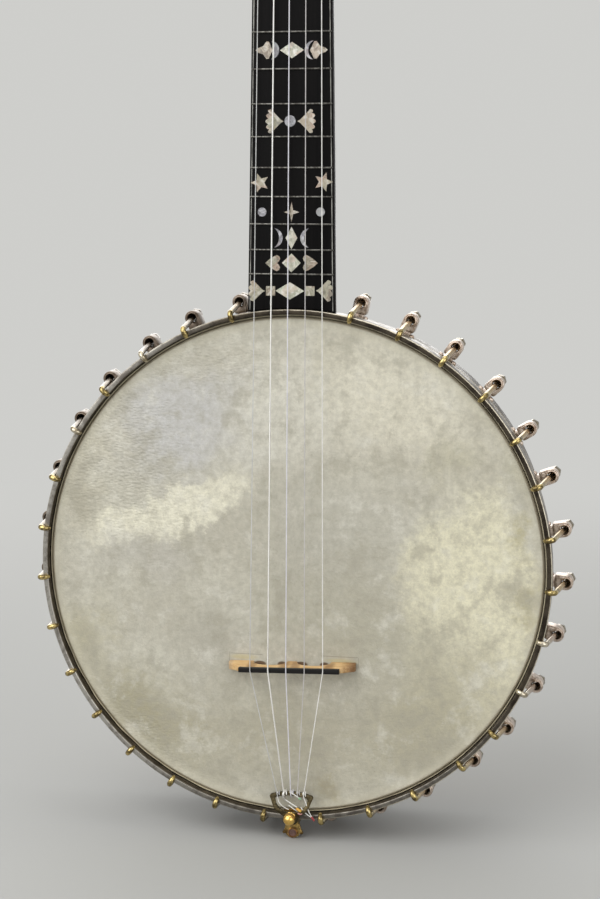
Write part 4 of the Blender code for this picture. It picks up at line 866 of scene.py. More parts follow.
def eased_flat(points, parts):
    return [(p.x, p.y) for p in eased([(x, y, 0) for x, y in points], parts)]


def mirrored(half):
    """A closed outline from its right half."""
    return half + [(-x, y) for x, y in reversed(half) if abs(x) > 0.01]


def bracket_angles():
    """Even steps down both sides of the pot, each bracket a little off its step."""
    side = [FIRST_BRACKET + BRACKET_STEP * i for i in range(BRACKETS // 2)]
    even = side + [360 - angle for angle in reversed(side)]
    return [angle + drift for angle, drift in zip(even, BRACKET_DRIFT)]


# Pot

def fray_flap(work, levels):
    """Gives the flap's cut edge its nicks."""
    chance = random.Random(7)
    nicks = [chance.uniform(-1, 1) for i in range(FRAYS)]
    for vertex in work.verts:
        reach = math.hypot(vertex.co.x, vertex.co.y)
        if reach > FLAP_INNER - 0.1 and round(vertex.co.z, 3) in levels:
            turn = math.atan2(vertex.co.y, vertex.co.x) / math.tau * FRAYS
            first = math.floor(turn)
            share = turn - first
            nick = nicks[first % FRAYS] * (1 - share) + nicks[(first + 1) % FRAYS] * share
            vertex.co.z += 0.5 * nick + 0.3 * math.sin(turn * 2.9) - 0.1


def make_head():
    """Skin with rounded shoulder, lap round the flesh hoop and a flap with a ragged edge."""
    bend = 1.8
    middle = SKIRT_OUTER - bend
    profile = [(0, 0), (40, 0), (80, 0), (120, 0), (140, 0), (148, 0)] + arc(middle, -bend, bend, 90, 0, 8)
    profile += [(SKIRT_OUTER, WRAP_BOTTOM + 1.2), (SKIRT_OUTER + 0.8, WRAP_BOTTOM + SKIN),
                (WRAP_OUTER - 1.6, WRAP_BOTTOM + SKIN), (WRAP_OUTER - SKIN, WRAP_BOTTOM + 1.6),
                (WRAP_OUTER - SKIN, WRAP_TOP - 1.2), (WRAP_OUTER - 1.4, WRAP_TOP - SKIN),
                (FLAP_INNER + 0.6, WRAP_TOP - SKIN), (FLAP_INNER, WRAP_TOP + 0.4)]
    edge = [(FLAP_INNER, FLAP_TOP - 0.7), (FLAP_INNER + 0.1, FLAP_TOP), (FLAP_OUTER - 0.1, FLAP_TOP),
            (FLAP_OUTER, FLAP_TOP - 0.7)]
    profile += edge + [(FLAP_OUTER, WRAP_TOP), (WRAP_OUTER - 1.2, WRAP_TOP), (WRAP_OUTER, WRAP_TOP - 1.2),
                       (WRAP_OUTER, WRAP_BOTTOM + 1.2), (WRAP_OUTER - 1.2, WRAP_BOTTOM),
                       (SKIRT_OUTER - SKIN, WRAP_BOTTOM)]
    profile += arc(middle, -bend, bend - SKIN, 0, 90, 6) + [(148, -SKIN), (0, -SKIN)]
    work = spun(profile, ROUND_STEPS)
    fray_flap(work, {round(z, 3) for r, z in edge})
    place_piece("skin_head", work, CALF_SKIN, node="head", angle=50)


def make_flesh_hoop():
    ease = 0.95
    near = FLAP_INNER + 0.1
    far = WRAP_OUTER - 0.8
    top = WRAP_TOP - 0.7
    low = WRAP_BOTTOM + 0.8
    ring = [(near, top), (far - ease, top), (far, top - ease), (far, low + ease), (far - ease, low),
            (near, low)]
    place_piece("flesh_ring", spun(ring, 120, ring=True), DARK_BRONZE, node="flesh_hoop")


def make_hoop():
    """Deep tension band with softened edges."""
    ease = 0.6
    low_ease = 0.4
    profile = arc(HOOP_OUTER - ease, HOOP_TOP - ease, ease, 0, 90, 4)
    profile += arc(HOOP_INNER + ease, HOOP_TOP - ease, ease, 90, 180, 4)
    profile += arc(HOOP_INNER + low_ease, HOOP_BOTTOM + low_ease, low_ease, 180, 270, 3)
    profile += arc(HOOP_OUTER - low_ease, HOOP_BOTTOM + low_ease, low_ease, 270, 360, 3)
    work = spun(profile, ROUND_STEPS, ring=True)
    place_piece("tension_band", work, DULLED_NICKEL, node="tension_hoop")


def make_cladding():
    """Sheet spun over the wood, turned in at the front and rolled at the back."""
    lip = RIM_RADIUS - 5.0
    roll = 1.4
    inner = RIM_RADIUS - CLADDING
    profile = [(lip, RIM_FRONT), (RIM_RADIUS - 1.5, RIM_FRONT), (RIM_RADIUS, RIM_FRONT - 1.5),
               (RIM_RADIUS, -30), (RIM_RADIUS, RIM_BACK + roll)]
    profile += arc(RIM_RADIUS - roll, RIM_BACK + roll, roll, 0, -90, 5)[1:]
    profile += [(lip, RIM_BACK), (lip - 0.3, RIM_BACK + 0.4), (lip, RIM_BACK + CLADDING),
                (inner, RIM_BACK + CLADDING), (inner, RIM_FRONT - 2.2),
                (RIM_RADIUS - 2.2, RIM_FRONT - CLADDING), (lip, RIM_FRONT - CLADDING)]
    work = spun(profile, ROUND_STEPS, ring=True)
    place_piece("rim_shell", work, AGED_NICKEL, node="rim_cladding")


def make_wood_rim():
    gap = CLADDING + 0.3
    top = RIM_FRONT - gap
    low = RIM_BACK + gap
    ease = 1.0
    ring = arc(WOOD_OUTER - ease, top - ease, ease, 0, 90, 3)
    ring += arc(WOOD_INNER + ease, top - ease, ease, 90, 180, 4) + [(WOOD_INNER, -20), (WOOD_INNER, -40)]
    ring += arc(WOOD_INNER + ease, low + ease, ease, 180, 270, 4) + [(WOOD_OUTER, low)]
    place_piece("wood_ring", spun(ring, ROUND_STEPS, ring=True), RIM_MAPLE, node="rim_wood")


def make_shoe_bolts():
    """Inside the rim, the domed head and washer of each shoe's bolt."""
    heads = bmesh.new()
    for angle in bracket_angles():
        head = spun([(0, 1.9), (1.4, 1.75), (2.5, 1.2), (3.1, 0.2), (3.1, 0), (0, 0)], 16)
        washer = spun([(0, 0.35), (4.3, 0.3), (4.5, 0), (0, 0)], 20)
        add(head, washer)
        add(heads, head, turned(-angle, "Z") @ shift(0, WOOD_INNER, SHOE_MIDDLE) @ turned(90, "X"))
    place_piece("shoe_bolts", heads, NICKEL_SILVER)


def make_shoe():
    """A foot on the rim, two knobs, and a horseshoe that the hook passes through."""
    shoe = bmesh.new()
    shoulder = SHOE_NECK + 1.2
    for half, bore, low, high in ((SHOE_HALF, 3.5, SHOE_BOTTOM, SHOE_TOP - 0.5),
                                  (SHOE_HALF - 0.8, 2.75, SHOE_BOTTOM + 0.6, SHOE_TOP)):
        outline = [(half - 0.5, SHOE_NECK), (half, shoulder)] + arc(0, SHOE_RADIUS, half, 0, 180, 14)
        outline += [(-half, shoulder), (-half + 0.5, SHOE_NECK)]
        hole = arc(0, SHOE_RADIUS, bore, 0, 337.5, 15)
        add(shoe, plate([outline, hole], low, high, 0.42))
    foot_low = (-5.4, RIM_RADIUS - 0.2, SHOE_MIDDLE - 5.6)
    foot_high = (5.4, RIM_RADIUS + 2.0, SHOE_MIDDLE + 5.6)
    add(shoe, block(foot_low, foot_high, 0.9, 3))
    stem_low = (-3.2, RIM_RADIUS + 1.0, SHOE_MIDDLE - 4.6)
    stem_high = (3.2, SHOE_NECK + 0.8, SHOE_MIDDLE + 4.0)
    add(shoe, block(stem_low, stem_high, 0.9))
    for side in (-4.7, 4.7):
        add(shoe, ball(1.55, 14, 10), shift(side, RIM_RADIUS + 3.4, SHOE_TOP - 2.0))
        arm = block((-0.8, -2.6, -0.9), (0.8, 0.4, 0.9), 0.4)
        add(shoe, arm, shift(side, RIM_RADIUS + 3.2, SHOE_TOP - 2.2))
    return shoe


def make_shoes():
    shoes = bmesh.new()
    for angle in bracket_angles():
        add(shoes, make_shoe(), turned(-angle, "Z"))
    place_piece("bracket_shoes", shoes, ROSY_NICKEL)


def make_nut_and_dome():
    """Hexagon nut under a collar, closed by a dome, down from the hook's foot."""
    nut = bmesh.new()
    bmesh.ops.create_cone(nut, cap_ends=True, segments=6, radius1=3.9, radius2=3.9, depth=5.4)
    ease_edges(nut, 0.45, 2)
    work = bmesh.new()
    add(work, nut, shift(z=-3.3))
    add(work, spun([(0, 0), (3.3, 0), (3.5, -0.35), (3.3, -0.8), (0, -0.8)], 20))
    dome = spun([(3.05, 0), (3.0, -1.2), (2.6, -2.4), (1.7, -3.4), (0.6, -3.9), (0, -3.95)], 20)
    add(work, dome, shift(z=-5.9))
    return work


def make_hooks():
    """Each hook runs over the band, back through its shoe, and into its domed nut."""
    bend = CREST - HOOK_BEND
    low = SHOE_BOTTOM - 0.9
    path = [(CLAW_RADIUS, bend - 2.9), (CLAW_RADIUS, bend - 2.4), (CLAW_RADIUS, bend - 1.0)]
    path += arc(CLAW_RADIUS + HOOK_BEND, bend, HOOK_BEND, 180, 90, 7)
    path += arc(SHANK_RADIUS - HOOK_BEND, bend, HOOK_BEND, 90, 0, 8)
    path += [(SHANK_RADIUS + SHANK_SLOPE * (bend - z), z) for z in (0, -8, -18, -28, low)]
    claw = [0.2, 0.35, 0.5] + [0.65 + 0.35 * i / 7 for i in range(8)]
    shares = claw + [1.0] * 10 + [0.98, 0.96, 0.94, 0.92]
    foot = shift(0, path[-1][0], low) @ turned(math.degrees(math.atan(SHANK_SLOPE)), "X")
    for number, angle in enumerate(bracket_angles(), start=1):
        hook = wire([(0, r, z) for r, z in path], HOOK_RADIUS, 4, shares)
        add(hook, make_nut_and_dome(), foot)
        hook.transform(turned(-angle, "Z"))
        paint = SILVERED_HOOK if number in SILVERED_HOOKS else WORN_BRASS
        place_piece(f"hook_{number:02d}", hook, paint, node=f"bracket_hook_{number:02d}")


# Neck

def treble_edge(s):
    return TREBLE_AT_POT + (TREBLE_AT_NUT - TREBLE_AT_POT) * s / NUT_S


def bass_edge(s):
    """Wide as far as the fifth peg, then in over a smooth shoulder."""
    if s < SHOULDER_START:
        return BASS_AT_POT + (BASS_AT_FIFTH - BASS_AT_POT) * s / SHOULDER_START
    top = SHOULDER_START + SHOULDER_LENGTH
    if s > top:
        return BASS_ABOVE_FIFTH + (BASS_AT_NUT - BASS_ABOVE_FIFTH) * (s - top) / (NUT_S - top)
    ease = (1 - math.cos(math.pi * (s - SHOULDER_START) / SHOULDER_LENGTH)) / 2
    return BASS_AT_FIFTH + (BASS_ABOVE_FIFTH - BASS_AT_FIFTH) * ease


def neck_ring(s, rim=False):
    """One cross-section, deep at the heel; at the rim it follows the pot's curve."""
    heel = max(0.0, min(1.0, 1 - (s - HEEL_FLAT) / HEEL_RUN)) ** HEEL_CURVE
    depth = SHAFT_DEPTH - SHAFT_TAPER * min(s / NUT_S, 1.0)
    depth += (HEEL_DEPTH - depth) * heel
    if s > NUT_S:
        depth = YOKE_DEPTH
    power = 2 / (2.3 + 1.2 * heel)
    left = bass_edge(min(s, NUT_S))
    right = treble_edge(min(s, NUT_S))
    tilt = math.radians(NECK_TILT)
    ring = []
    for angle in (math.pi * i / 36 for i in range(37)):
        down = math.sin(angle) ** power
        side = math.copysign(abs(math.cos(angle)) ** power, math.cos(angle))
        narrow = 1 - 0.5 * heel * down
        x = (left + right) / 2 + (right - left) / 2 * side * narrow
        z = -BOARD_THICK - 0.3 - depth * down
        at = s
        if rim:
            level = BOARD_STANDS + z * math.cos(tilt)
            reach = HOOP_OUTER + 0.4 if level > WRAP_BOTTOM - 0.3 else RIM_RADIUS + 0.4
            at = (math.sqrt(reach ** 2 - x ** 2) - NECK_FOOT - z * math.sin(tilt)) / math.cos(tilt)
        ring.append((x, at, z))
    return ring


def peghead_outline():
    """Narrow at the nut, widest at the lower pegs, waisted, then a peaked crown."""
    side = [(16.0, -6), (16.2, 0), (17.6, 6), (20.6, 13), (24.6, 20), (28.6, 29), (31.5, 40), (30.6, 60),
            (29.0, 80), (28.6, 98), (29.6, 118), (31.8, 136), (32.4, 143)]
    crown = [(32.0 * (1 - i / 12), 144 + 21 * (0.5 - 0.5 * math.cos(math.pi * i / 12))) for i in range(13)]
    return mirrored(list(reversed(eased_flat(side, 4) + crown)))


def make_neck():
    """Shaft, heel and peghead in one, the heel's cap and the peghead's veneer."""
    stations = [7.5, 12, 17, 21, 25, 29, 34, 39, 45, 51, 58, 66, 76, 89, 130, 175, 215, 250, 270]
    stations += [SHOULDER_START - 12 + SHOULDER_LENGTH * i / 12 for i in range(26)]
    stations += [345, 385, NUT_S - 1, NUT_S + 6]
    neck = lofted([neck_ring(0, True)] + [neck_ring(s) for s in stations])
    cap = neck.copy()
    cut_below(neck, HEEL_CAP_LEVEL + 0.15, -1)
    cut_below(cap, HEEL_CAP_LEVEL, 1)
    place_piece("heel_plate", cap, EBONY, NECK, "heel_cap")

    outline = peghead_outline()
    add(neck, plate([outline], -PEGHEAD_THICK, 0, 1.2, 3), NECK.inverted() @ PEGHEAD)
    place_piece("neck_wood", neck, EBONY, NECK, "neck")

    start = 2.6
    inset = [(x * 0.995, start if y <= 0 else y) for x, y in outline if y <= 0 or y > start - 0.1]
    veneer = plate([inset], 0.3, VENEER_TOP, 0.3)
    place_piece("peghead_face", veneer, EBONY, PEGHEAD, "peghead_veneer")


def fret_s(number):
    return NUT_S - SCALE * (1 - 2 ** (-number / 12)) / math.cos(math.radians(NECK_TILT))


def board_stops():
    """Where the board's edges need points: each 20 mm, and closer on the shoulder."""
    shoulder = [SHOULDER_START + SHOULDER_LENGTH * i / 10 for i in range(11)]
    return [20 * i for i in range(15)] + shoulder + [NUT_S - 0.3]


def make_board():
    """Fingerboard, hollowed at its foot to clear the tension band."""
    foot = []
    for i in range(13):
        x = TREBLE_AT_POT + (BASS_AT_POT - TREBLE_AT_POT) * i / 12
        foot.append((x, math.sqrt((HOOP_OUTER + 0.4) ** 2 - x ** 2) - NECK_FOOT))
    stops = board_stops()
    left = [(bass_edge(s), s) for s in stops if s > 5]
    board = plate([[(treble_edge(stops[-1]), stops[-1])] + foot + left], -BOARD_THICK, 0, 0.45)
    place_piece("board", board, EBONY_BOARD, NECK, "fingerboard")


def make_edge_lines():
    lines = bmesh.new()
    stops = [4] + board_stops()[1:]
    for edge, inward in ((treble_edge, -1), (bass_edge, 1)):
        near = [(edge(s) + inward * 0.95, s) for s in stops]
        far = [(edge(s) + inward * 1.45, s) for s in stops]
        add(lines, plate([near + list(reversed(far))], -0.3, 0.03))
    place_piece("edge_lines", lines, EDGE_LINE, NECK)


def make_frets():
    frets = bmesh.new()
    for number in range(1, FRETS + 1):
        s = fret_s(number)
        low = (bass_edge(s) + 0.35, s - FRET_HALF, -0.3)
        high = (treble_edge(s) - 0.35, s + FRET_HALF, 0.8)
        add(frets, block(low, high, 0.36, 3))
    place_piece("bar_frets", frets, WORN_FRET, NECK)


def make_nut_and_pip():
    nut = block((BASS_AT_NUT, NUT_S, -BOARD_THICK), (TREBLE_AT_NUT, NUT_S + NUT_LONG, 1.0), 0.5, 3)
    place_piece("bone_nut", nut, BONE, NECK, "nut")
    pip = spun([(0, 1.9), (0.7, 1.85), (1.15, 1.5), (1.2, 0.4), (1.2, -3), (0, -3)], 20)
    place_piece("string_pip", pip, BONE, NECK @ shift(PIP_X, PIP_S), "fifth_string_pip")


# Inlays, as outlines about their own centres

def disc(radius):
    return arc(0, 0, radius, 0, 350, 35)


def star(points, outer, inner, turn=90.0, stretch=1.0):
    made = []
    for i in range(points * 2):
        reach = inner if i % 2 else outer
        angle = math.radians(turn + 180 * i / points)
        made.append((reach * math.cos(angle), stretch * reach * math.sin(angle)))
    return made


def diamond(half_x, half_y):
    return [(half_x, 0), (0, half_y), (-half_x, 0), (0, -half_y)]


def facing_way(outline, way):
    return [(way * x, y) for x, y in outline]


def lying(top, way):
    """A closed outline from its upper edge, the same below, with its tip towards way."""
    return facing_way(top + [(x, -y) for x, y in reversed(top[1:-1])], way)


def crescent(width, height, thick, way):
    """Moon with its back towards way: 1 right, -1 left; height is half its own."""
    def bow(depth):
        radius = (height ** 2 + depth ** 2) / (2 * depth)
        swing = math.degrees(math.asin(min(1.0, height / radius)))
        return arc(depth - radius - width / 2, 0, radius, -swing, swing, 12)
    return facing_way(bow(width) + list(reversed(bow(width - thick)))[1:-1], way)


def heart(length, half, way):
    """Heart lying on its side with its tip towards way."""
    top = [(0.5, 0), (0.20, 0.50), (-0.10, 0.85), (-0.28, 1.0), (-0.44, 0.85), (-0.5, 0.55), (-0.42, 0.22),
           (-0.30, 0)]
    return lying([(x * length, y * half) for x, y in top], way)


def fleur(length, half, way):
    """Three-armed leaf with its long tip towards way."""
    top = [(0.52, 0), (0.40, 0.24), (0.22, 0.36), (0.08, 0.46), (-0.02, 0.74), (-0.12, 1.0), (-0.26, 0.96),
           (-0.34, 0.62), (-0.40, 0.34), (-0.50, 0)]
    return lying([(x * length, y * half) for x, y in top], way)


def fan(length, half, way, lobes=5):
    """Scallop shell opening towards way from a fine point, its edge in round lobes."""
    widest = 62
    edge = []
    for i in range(lobes * 6 + 1):
        share = i / (lobes * 6)
        sweep = math.radians(widest * (2 * share - 1))
        lobe = abs(math.sin(math.pi * lobes * share)) * 0.16
        x = length * (0.02 + (0.42 + lobe) * math.cos(sweep * 0.9))
        y = half * (1.0 + lobe * 0.4) * math.sin(sweep) / math.sin(math.radians(widest))
        edge.append((x, y))
    side = [(-0.12, 0.42), (-0.32, 0.14), (-0.5, 0), (-0.32, -0.14), (-0.12, -0.42)]
    return facing_way(edge + [(x * length, y * half) for x, y in side], way)


def fret_space(number):
    """Middle of the space between a fret and the next one down the neck."""
    return (fret_s(number) + fret_s(number + 1)) / 2


def make_board_inlays():
    """Mother-of-pearl flush with the board, in three tones; each inlay with its place across and along."""
    tan = [
        (fleur(10.2, 5.0, -1), -17.9, 154.7), (fleur(10.2, 5.1, 1), 14.1, 154.5),
        (fan(9.9, 6.9, -1), -11.0, 113.9), (fan(9.9, 6.9, 1), 6.9, 113.9),
        (star(5, 5.8, 2.6, 180), -19.9, 78.4), (star(5, 5.8, 2.6, 0), 17.8, 78.9),
        (star(4, 4.6, 1.35, 0, 1.28), -0.9, 61.4),
        (heart(8.9, 4.7, -1), -11.9, 31.7), (heart(8.9, 4.7, 1), 10.6, 31.9),
        (fan(9.2, 6.1, -1, 4), -20.9, 15.3), (star(4, 3.9, 2.76, 45), -13.0, 15.4),
        (star(4, 4.0, 2.83, 45), 10.5, 15.6), (fan(9.4, 6.3, 1, 4), 18.7, 15.8),
        (star(8, 7.5, 2.6), -2.6, fret_space(4)), (star(5, 6.0, 2.1), 0.3, fret_space(0)),
    ]
    grey = [
        (crescent(4.6, 5.3, 3.0, 1), -11.4, 154.7), (crescent(5.2, 5.4, 2.2, -1), 8.4, 154.5),
        (disc(3.3), -2.3, 114.0),
        (disc(2.6), -18.5, 61.4), (disc(2.6), 16.3, 61.6),
        (crescent(5.0, 5.6, 2.2, 1), -8.5, 46.4), (crescent(5.0, 5.6, 2.4, -1), 6.9, 46.4),
        (disc(3.0), -13.0, fret_space(6)), (disc(3.0), 9.5, fret_space(6)),
        (crescent(5.0, 5.6, 2.4, 1), -11.8, fret_space(4)), (crescent(5.0, 5.6, 2.4, -1), 6.6, fret_space(4)),
    ]
    pale = [
        (diamond(7.1, 4.7), -1.6, 154.6), (diamond(3.5, 6.5), -0.8, 46.4), (diamond(5.6, 5.5), -0.7, 31.9),
        (diamond(8.6, 5.1), -1.5, 15.5), (diamond(4.0, 8.5), -2.0, fret_space(6)),
        (diamond(4.2, 9.0), -0.1, fret_space(2)),
    ]
    for tone, paint, inlays in (("tan", MOTHER_OF_PEARL, tan), ("grey", GREY_PEARL, grey),
                                ("pale", PALE_PEARL, pale)):
        pearls = bmesh.new()
        for outline, x, s in inlays:
            add(pearls, plate([outline], -0.4, 0.04), shift(x, s))
        place_piece(f"board_inlays_{tone}", pearls, paint, NECK)


def make_peghead_inlays():
    pearls = bmesh.new()
    for outline, x, y in ((star(8, 12.0, 4.2), 0, 76), (crescent(7.0, 8.5, 3.2, -1), 10.5, 128),
                          (crescent(7.0, 8.5, 3.2, 1), -10.5, 128), (diamond(4.6, 8.2), 0, 128),
                          (disc(2.6), 0, 146), (diamond(4.4, 8.5), 0, 32)):
        add(pearls, plate([outline], VENEER_TOP - 0.5, VENEER_TOP + 0.03), shift(x, y))
    place_piece("peghead_inlays", pearls, MOTHER_OF_PEARL, PEGHEAD)


# Pegs and strings

def turned_peg(post, collar, knob, start, end, share):
    """A turned peg whose knob is pressed thin from start to end below the collar."""
    work = spun(post + [(radius, collar - depth) for radius, depth in knob], 40)
    for vertex in work.verts:
        ease = min(max((collar - start - vertex.co.z) / (end - start), 0.0), 1.0)
        ease = ease * ease * (3 - 2 * ease)
        vertex.co.y *= 1 + (share - 1) * ease
    return work


def make_pegs():
    for number, (across, along) in PEG_PLACES.items():
        stand = PEGHEAD @ shift(across, along)
        body = f"peg_{number}_body"
        post = [(0, 19.5), (1.5, 19.45), (2.7, 19.1), (PEG_POST, 18.4), (PEG_POST, 2.5), (3.7, 1.5),
                (4.2, PEG_COLLAR)]
        peg = turned_peg(post, PEG_COLLAR, PEG_KNOB, 3.4, 9.5, 0.3)
        place_piece(f"tuning_peg_{number}", peg, EBONY, stand, f"peg_{number}", body)
        tip = spun([(0, 1.3), (0.8, 1.15), (1.5, 0.5), (1.7, 0), (1.7, -1.5), (0, -1.5)], 16)
        end = stand @ shift(z=PEG_COLLAR - PEG_TIP) @ turned(180, "X")
        place_piece(f"peg_button_{number}", tip, BONE, end, body=body)

    post = [(0, 15), (3.0, 15), (PEG_POST, 14.6), (PEG_POST, FIFTH_COLLAR)]
    peg = turned_peg(post, FIFTH_COLLAR, FIFTH_KNOB, 3.0, 8.0, 0.32)
    stand = NECK @ shift(bass_edge(FIFTH_PEG_S), FIFTH_PEG_S, -FIFTH_PEG_DROP) @ turned(90, "Y")
    place_piece("fifth_tuning_peg", peg, EBONY, stand, "fifth_peg", "fifth_peg_body")


def tail_drop(y):
    """How far the tailpiece has bent down towards the skin."""
    return 2.4 * max(0.0, (y + 148.5) / 10.0)


def bar_centre(x):
    """Middle of the tailpiece's curved bar, x from the tail's middle line."""
    y = BAR_Y - 1.8 * (x / 12.6) ** 2
    return Vector((TAIL_X + x, y, (TAIL_TOP + TAIL_UNDER) / 2 - tail_drop(y)))


def bar_turn(number):
    """A string's turn round the bar."""
    clear = STRING_RADII[number] + STRING_GAP
    centre = bar_centre(BAR_X[number])
    loop = math.hypot(2 * BAR_HALF, TAIL_TOP - TAIL_UNDER) / 2 + clear
    made = []
    for i in range(TURN_STEPS + 1):
        left = 1 - i / TURN_STEPS
        angle = math.pi / 2 + math.tau * left
        made.append(centre + Vector((2 * clear * left, loop * math.cos(angle), loop * math.sin(angle))))
    return made


def over_bridge(number):
    """Where a string crosses the bridge, which stands a little askew."""
    x = BRIDGE_X[number]
    return Vector((x, BRIDGE_Y + (x - BRIDGE_CENTRE_X) * math.tan(math.radians(BRIDGE_TURN)), STRING_HEIGHT))


def over_board(x, s, z):
    """A bench point from its place over the board."""
    return POT.inverted() @ NECK @ Vector((x, s, z))


def string_height(s):
    """Height of a string over the board."""
    start = NECK.inverted() @ POT @ Vector((0, BRIDGE_Y, STRING_HEIGHT))
    return start.z + (HEIGHT_AT_NUT - start.z) * (s - start.y) / (NUT_S - start.y)


def post_turns(radius, stand, start, first=0.0, way=1):
    """A string's turns on a post, as bench points; each lies under the last, down the post's z."""
    reach = PEG_POST + POST_GAP + radius
    pitch = (2 * radius + STRING_GAP) / TURN_STEPS
    to_bench = POT.inverted() @ stand
    made = []
    for i in range(POST_TURNS * TURN_STEPS + 1):
        angle = first + math.tau * i / TURN_STEPS
        spot = Vector((way * reach * math.cos(angle), reach * math.sin(angle), start - pitch * i))
        made.append(to_bench @ spot)
    return made


def to_peg(number):
    """A string's points past the bridge, its turns on the post, and the body that they ride on."""
    radius = STRING_RADII[number]
    if number == 5:
        edge = bass_edge(FIFTH_PEG_S)
        stand = NECK @ shift(edge, FIFTH_PEG_S, -FIFTH_PEG_DROP) @ turned(90, "Y")
        winding = post_turns(radius, stand, -3.4, math.radians(50), -1)
        points = [over_board(PIP_X, PIP_S, string_height(PIP_S)),
                  over_board(edge - 0.5, FIFTH_PEG_S - 7, 0.5 + radius)]
        return points + winding[:1], winding, "fifth_peg_body"
    across, along = PEG_PLACES[number]
    winding = post_turns(radius, PEGHEAD @ shift(across, along), 9.5, way=1 if across < 0 else -1)
    points = [over_board(NUT_X[number], s, HEIGHT_AT_NUT) for s in (NUT_S, NUT_S + NUT_LONG)]
    return points + winding[:1], winding, f"peg_{number}_body"


def make_strings():
    """Each string runs from its turn on the bar over bridge and nut; its turns ride on the peg."""
    for number, (paint, share) in STRING_LOOKS.items():
        points, winding, body = to_peg(number)
        run = bar_turn(number) + [over_bridge(number)] + points
        radius = STRING_RADII[number] * share
        place_piece(f"string_run_{number}", wire(run, radius, 2), paint, node=f"string_{number}",
                    angle=60)
        place_piece(f"string_turns_{number}", wire(winding, radius, 2), paint, body=body, angle=60)


def make_string_ends():
    """Knots on the bar and loose ends in the bowl of the tailpiece."""
    knot = [(-2.6, -136.5, 7.0), (-3.2, -137.9, 8.9), (-3.4, -140.1, 8.6), (-2.9, -142.1, 7.6)]
    place_piece("string_knot_4", wire(eased(knot, 5), 0.75, 2), SILVER_WOUND, angle=60)
    ends = (
        (0.42, [(-2.9, -141.9, 7.5), (-0.4, -143.7, 7.2), (2.4, -145.3, 7.4), (5.0, -146.7, 7.6)]),
        (0.36, [(1.3, -137.5, 8.8), (3.2, -138.3, 8.8), (5.0, -139.5, 8.6), (6.4, -140.7, 8.3)]),
        (0.30, [(-7.0, -140.7, 8.0), (-6.2, -144.1, 7.6), (-3.6, -146.9, 7.4), (-0.2, -148.5, 7.5)]),
        (0.32, [(-0.4, -145.7, 7.3), (2.4, -147.5, 7.6), (5.0, -148.9, 7.9), (7.4, -149.5, 8.2)]),
        (0.34, [(9.1, -139.3, 8.6), (10.6, -143.5, 8.4), (12.2, -148.1, 8.6), (14.2, -152.1, 8.0)]),
        (0.30, [(7.4, -146.3, 8.4), (9.6, -148.7, 8.8), (11.8, -150.7, 8.6), (14.0, -152.4, 8.0)]),
    )
    gathered = bmesh.new()
    for radius, points in ends:
        add(gathered, wire(eased(points, 5), radius, 2))
    for number, radius in ((3, 0.85), (2, 0.7), (1, 0.75), (5, 0.5)):
        place = Matrix.Translation(bar_centre(BAR_X[number]) + Vector((0, 1.4, 1.7)))
        add(gathered, ball(radius, 12, 8), place @ Matrix.Diagonal((1, 1.5, 1, 1)))
    place_piece("string_ends", gathered, GUT_STRING, angle=60)


def make_silks():
    """Coloured silk wrapped round the loose ends."""
    silks = (
        ("red_silk", RED_SILK, 0.62, [(13.8, -151.7, 8.1), (14.8, -153.3, 7.6), (15.6, -154.9, 7.0)]),
        ("yellow_silk", YELLOW_SILK, 0.9, [(4.6, -147.1, 8.6), (6.4, -147.9, 9.0), (8.0, -148.7, 9.0)]),
        ("green_silk", GREEN_SILK, 0.5, [(5.9, -140.4, 8.5), (6.8, -141.1, 8.3), (7.6, -140.9, 8.4)]),
        ("rose_silk", ROSE_SILK, 0.6, [(5.6, -149.7, 9.2), (7.4, -150.3, 9.2), (8.8, -149.7, 9.0)]),
    )
    for name, paint, radius, points in silks:
        line = eased(points, 5)
        shares = [0.5] + [1.0] * (len(line) - 2) + [0.5]
        place_piece(name, wire(line, radius, 3, shares), paint, angle=60)


# Bridge and tailpiece

def make_bridge():
    """Three-footed maple bridge, thinner towards the top, and its ebony cap."""
    arch = [(2.9, 0.3), (4.0, 3.9), (7.6, 6.7), (13.4, 7.6), (19.2, 6.7), (22.8, 3.9), (23.9, 0.3)]
    outer = [(38.8, 0.3), (39.0, 3.1), (38.4, 4.9), (37.0, 6.3), (35.2, 7.6), (33.5, 9.1), (32.2, 10.6),
             (CAP_HALF, BRIDGE_TOP)]
    half_thick = BRIDGE_FOOT_THICK / 2
    body = plate([mirrored(eased_flat(arch, 4) + outer)], -half_thick, half_thick, 0.35)
    for vertex in body.verts:
        share = max(0.0, vertex.co.y / BRIDGE_TOP)
        vertex.co.z *= 1 + (BRIDGE_TOP_THICK / BRIDGE_FOOT_THICK - 1) * share
    stand = POT @ shift(BRIDGE_CENTRE_X, BRIDGE_Y) @ turned(BRIDGE_TURN, "Z")
    place_piece("bridge_body", body, BRIDGE_MAPLE, stand @ turned(90, "X"), "bridge")
    cap_low = BRIDGE_TOP + 0.3
    cap = block((-CAP_HALF, -1.5, cap_low), (CAP_HALF, 1.5, cap_low + 3.0), 0.4, 3)
    place_piece("bridge_top", cap, EBONY_CAP, stand, "bridge_cap")


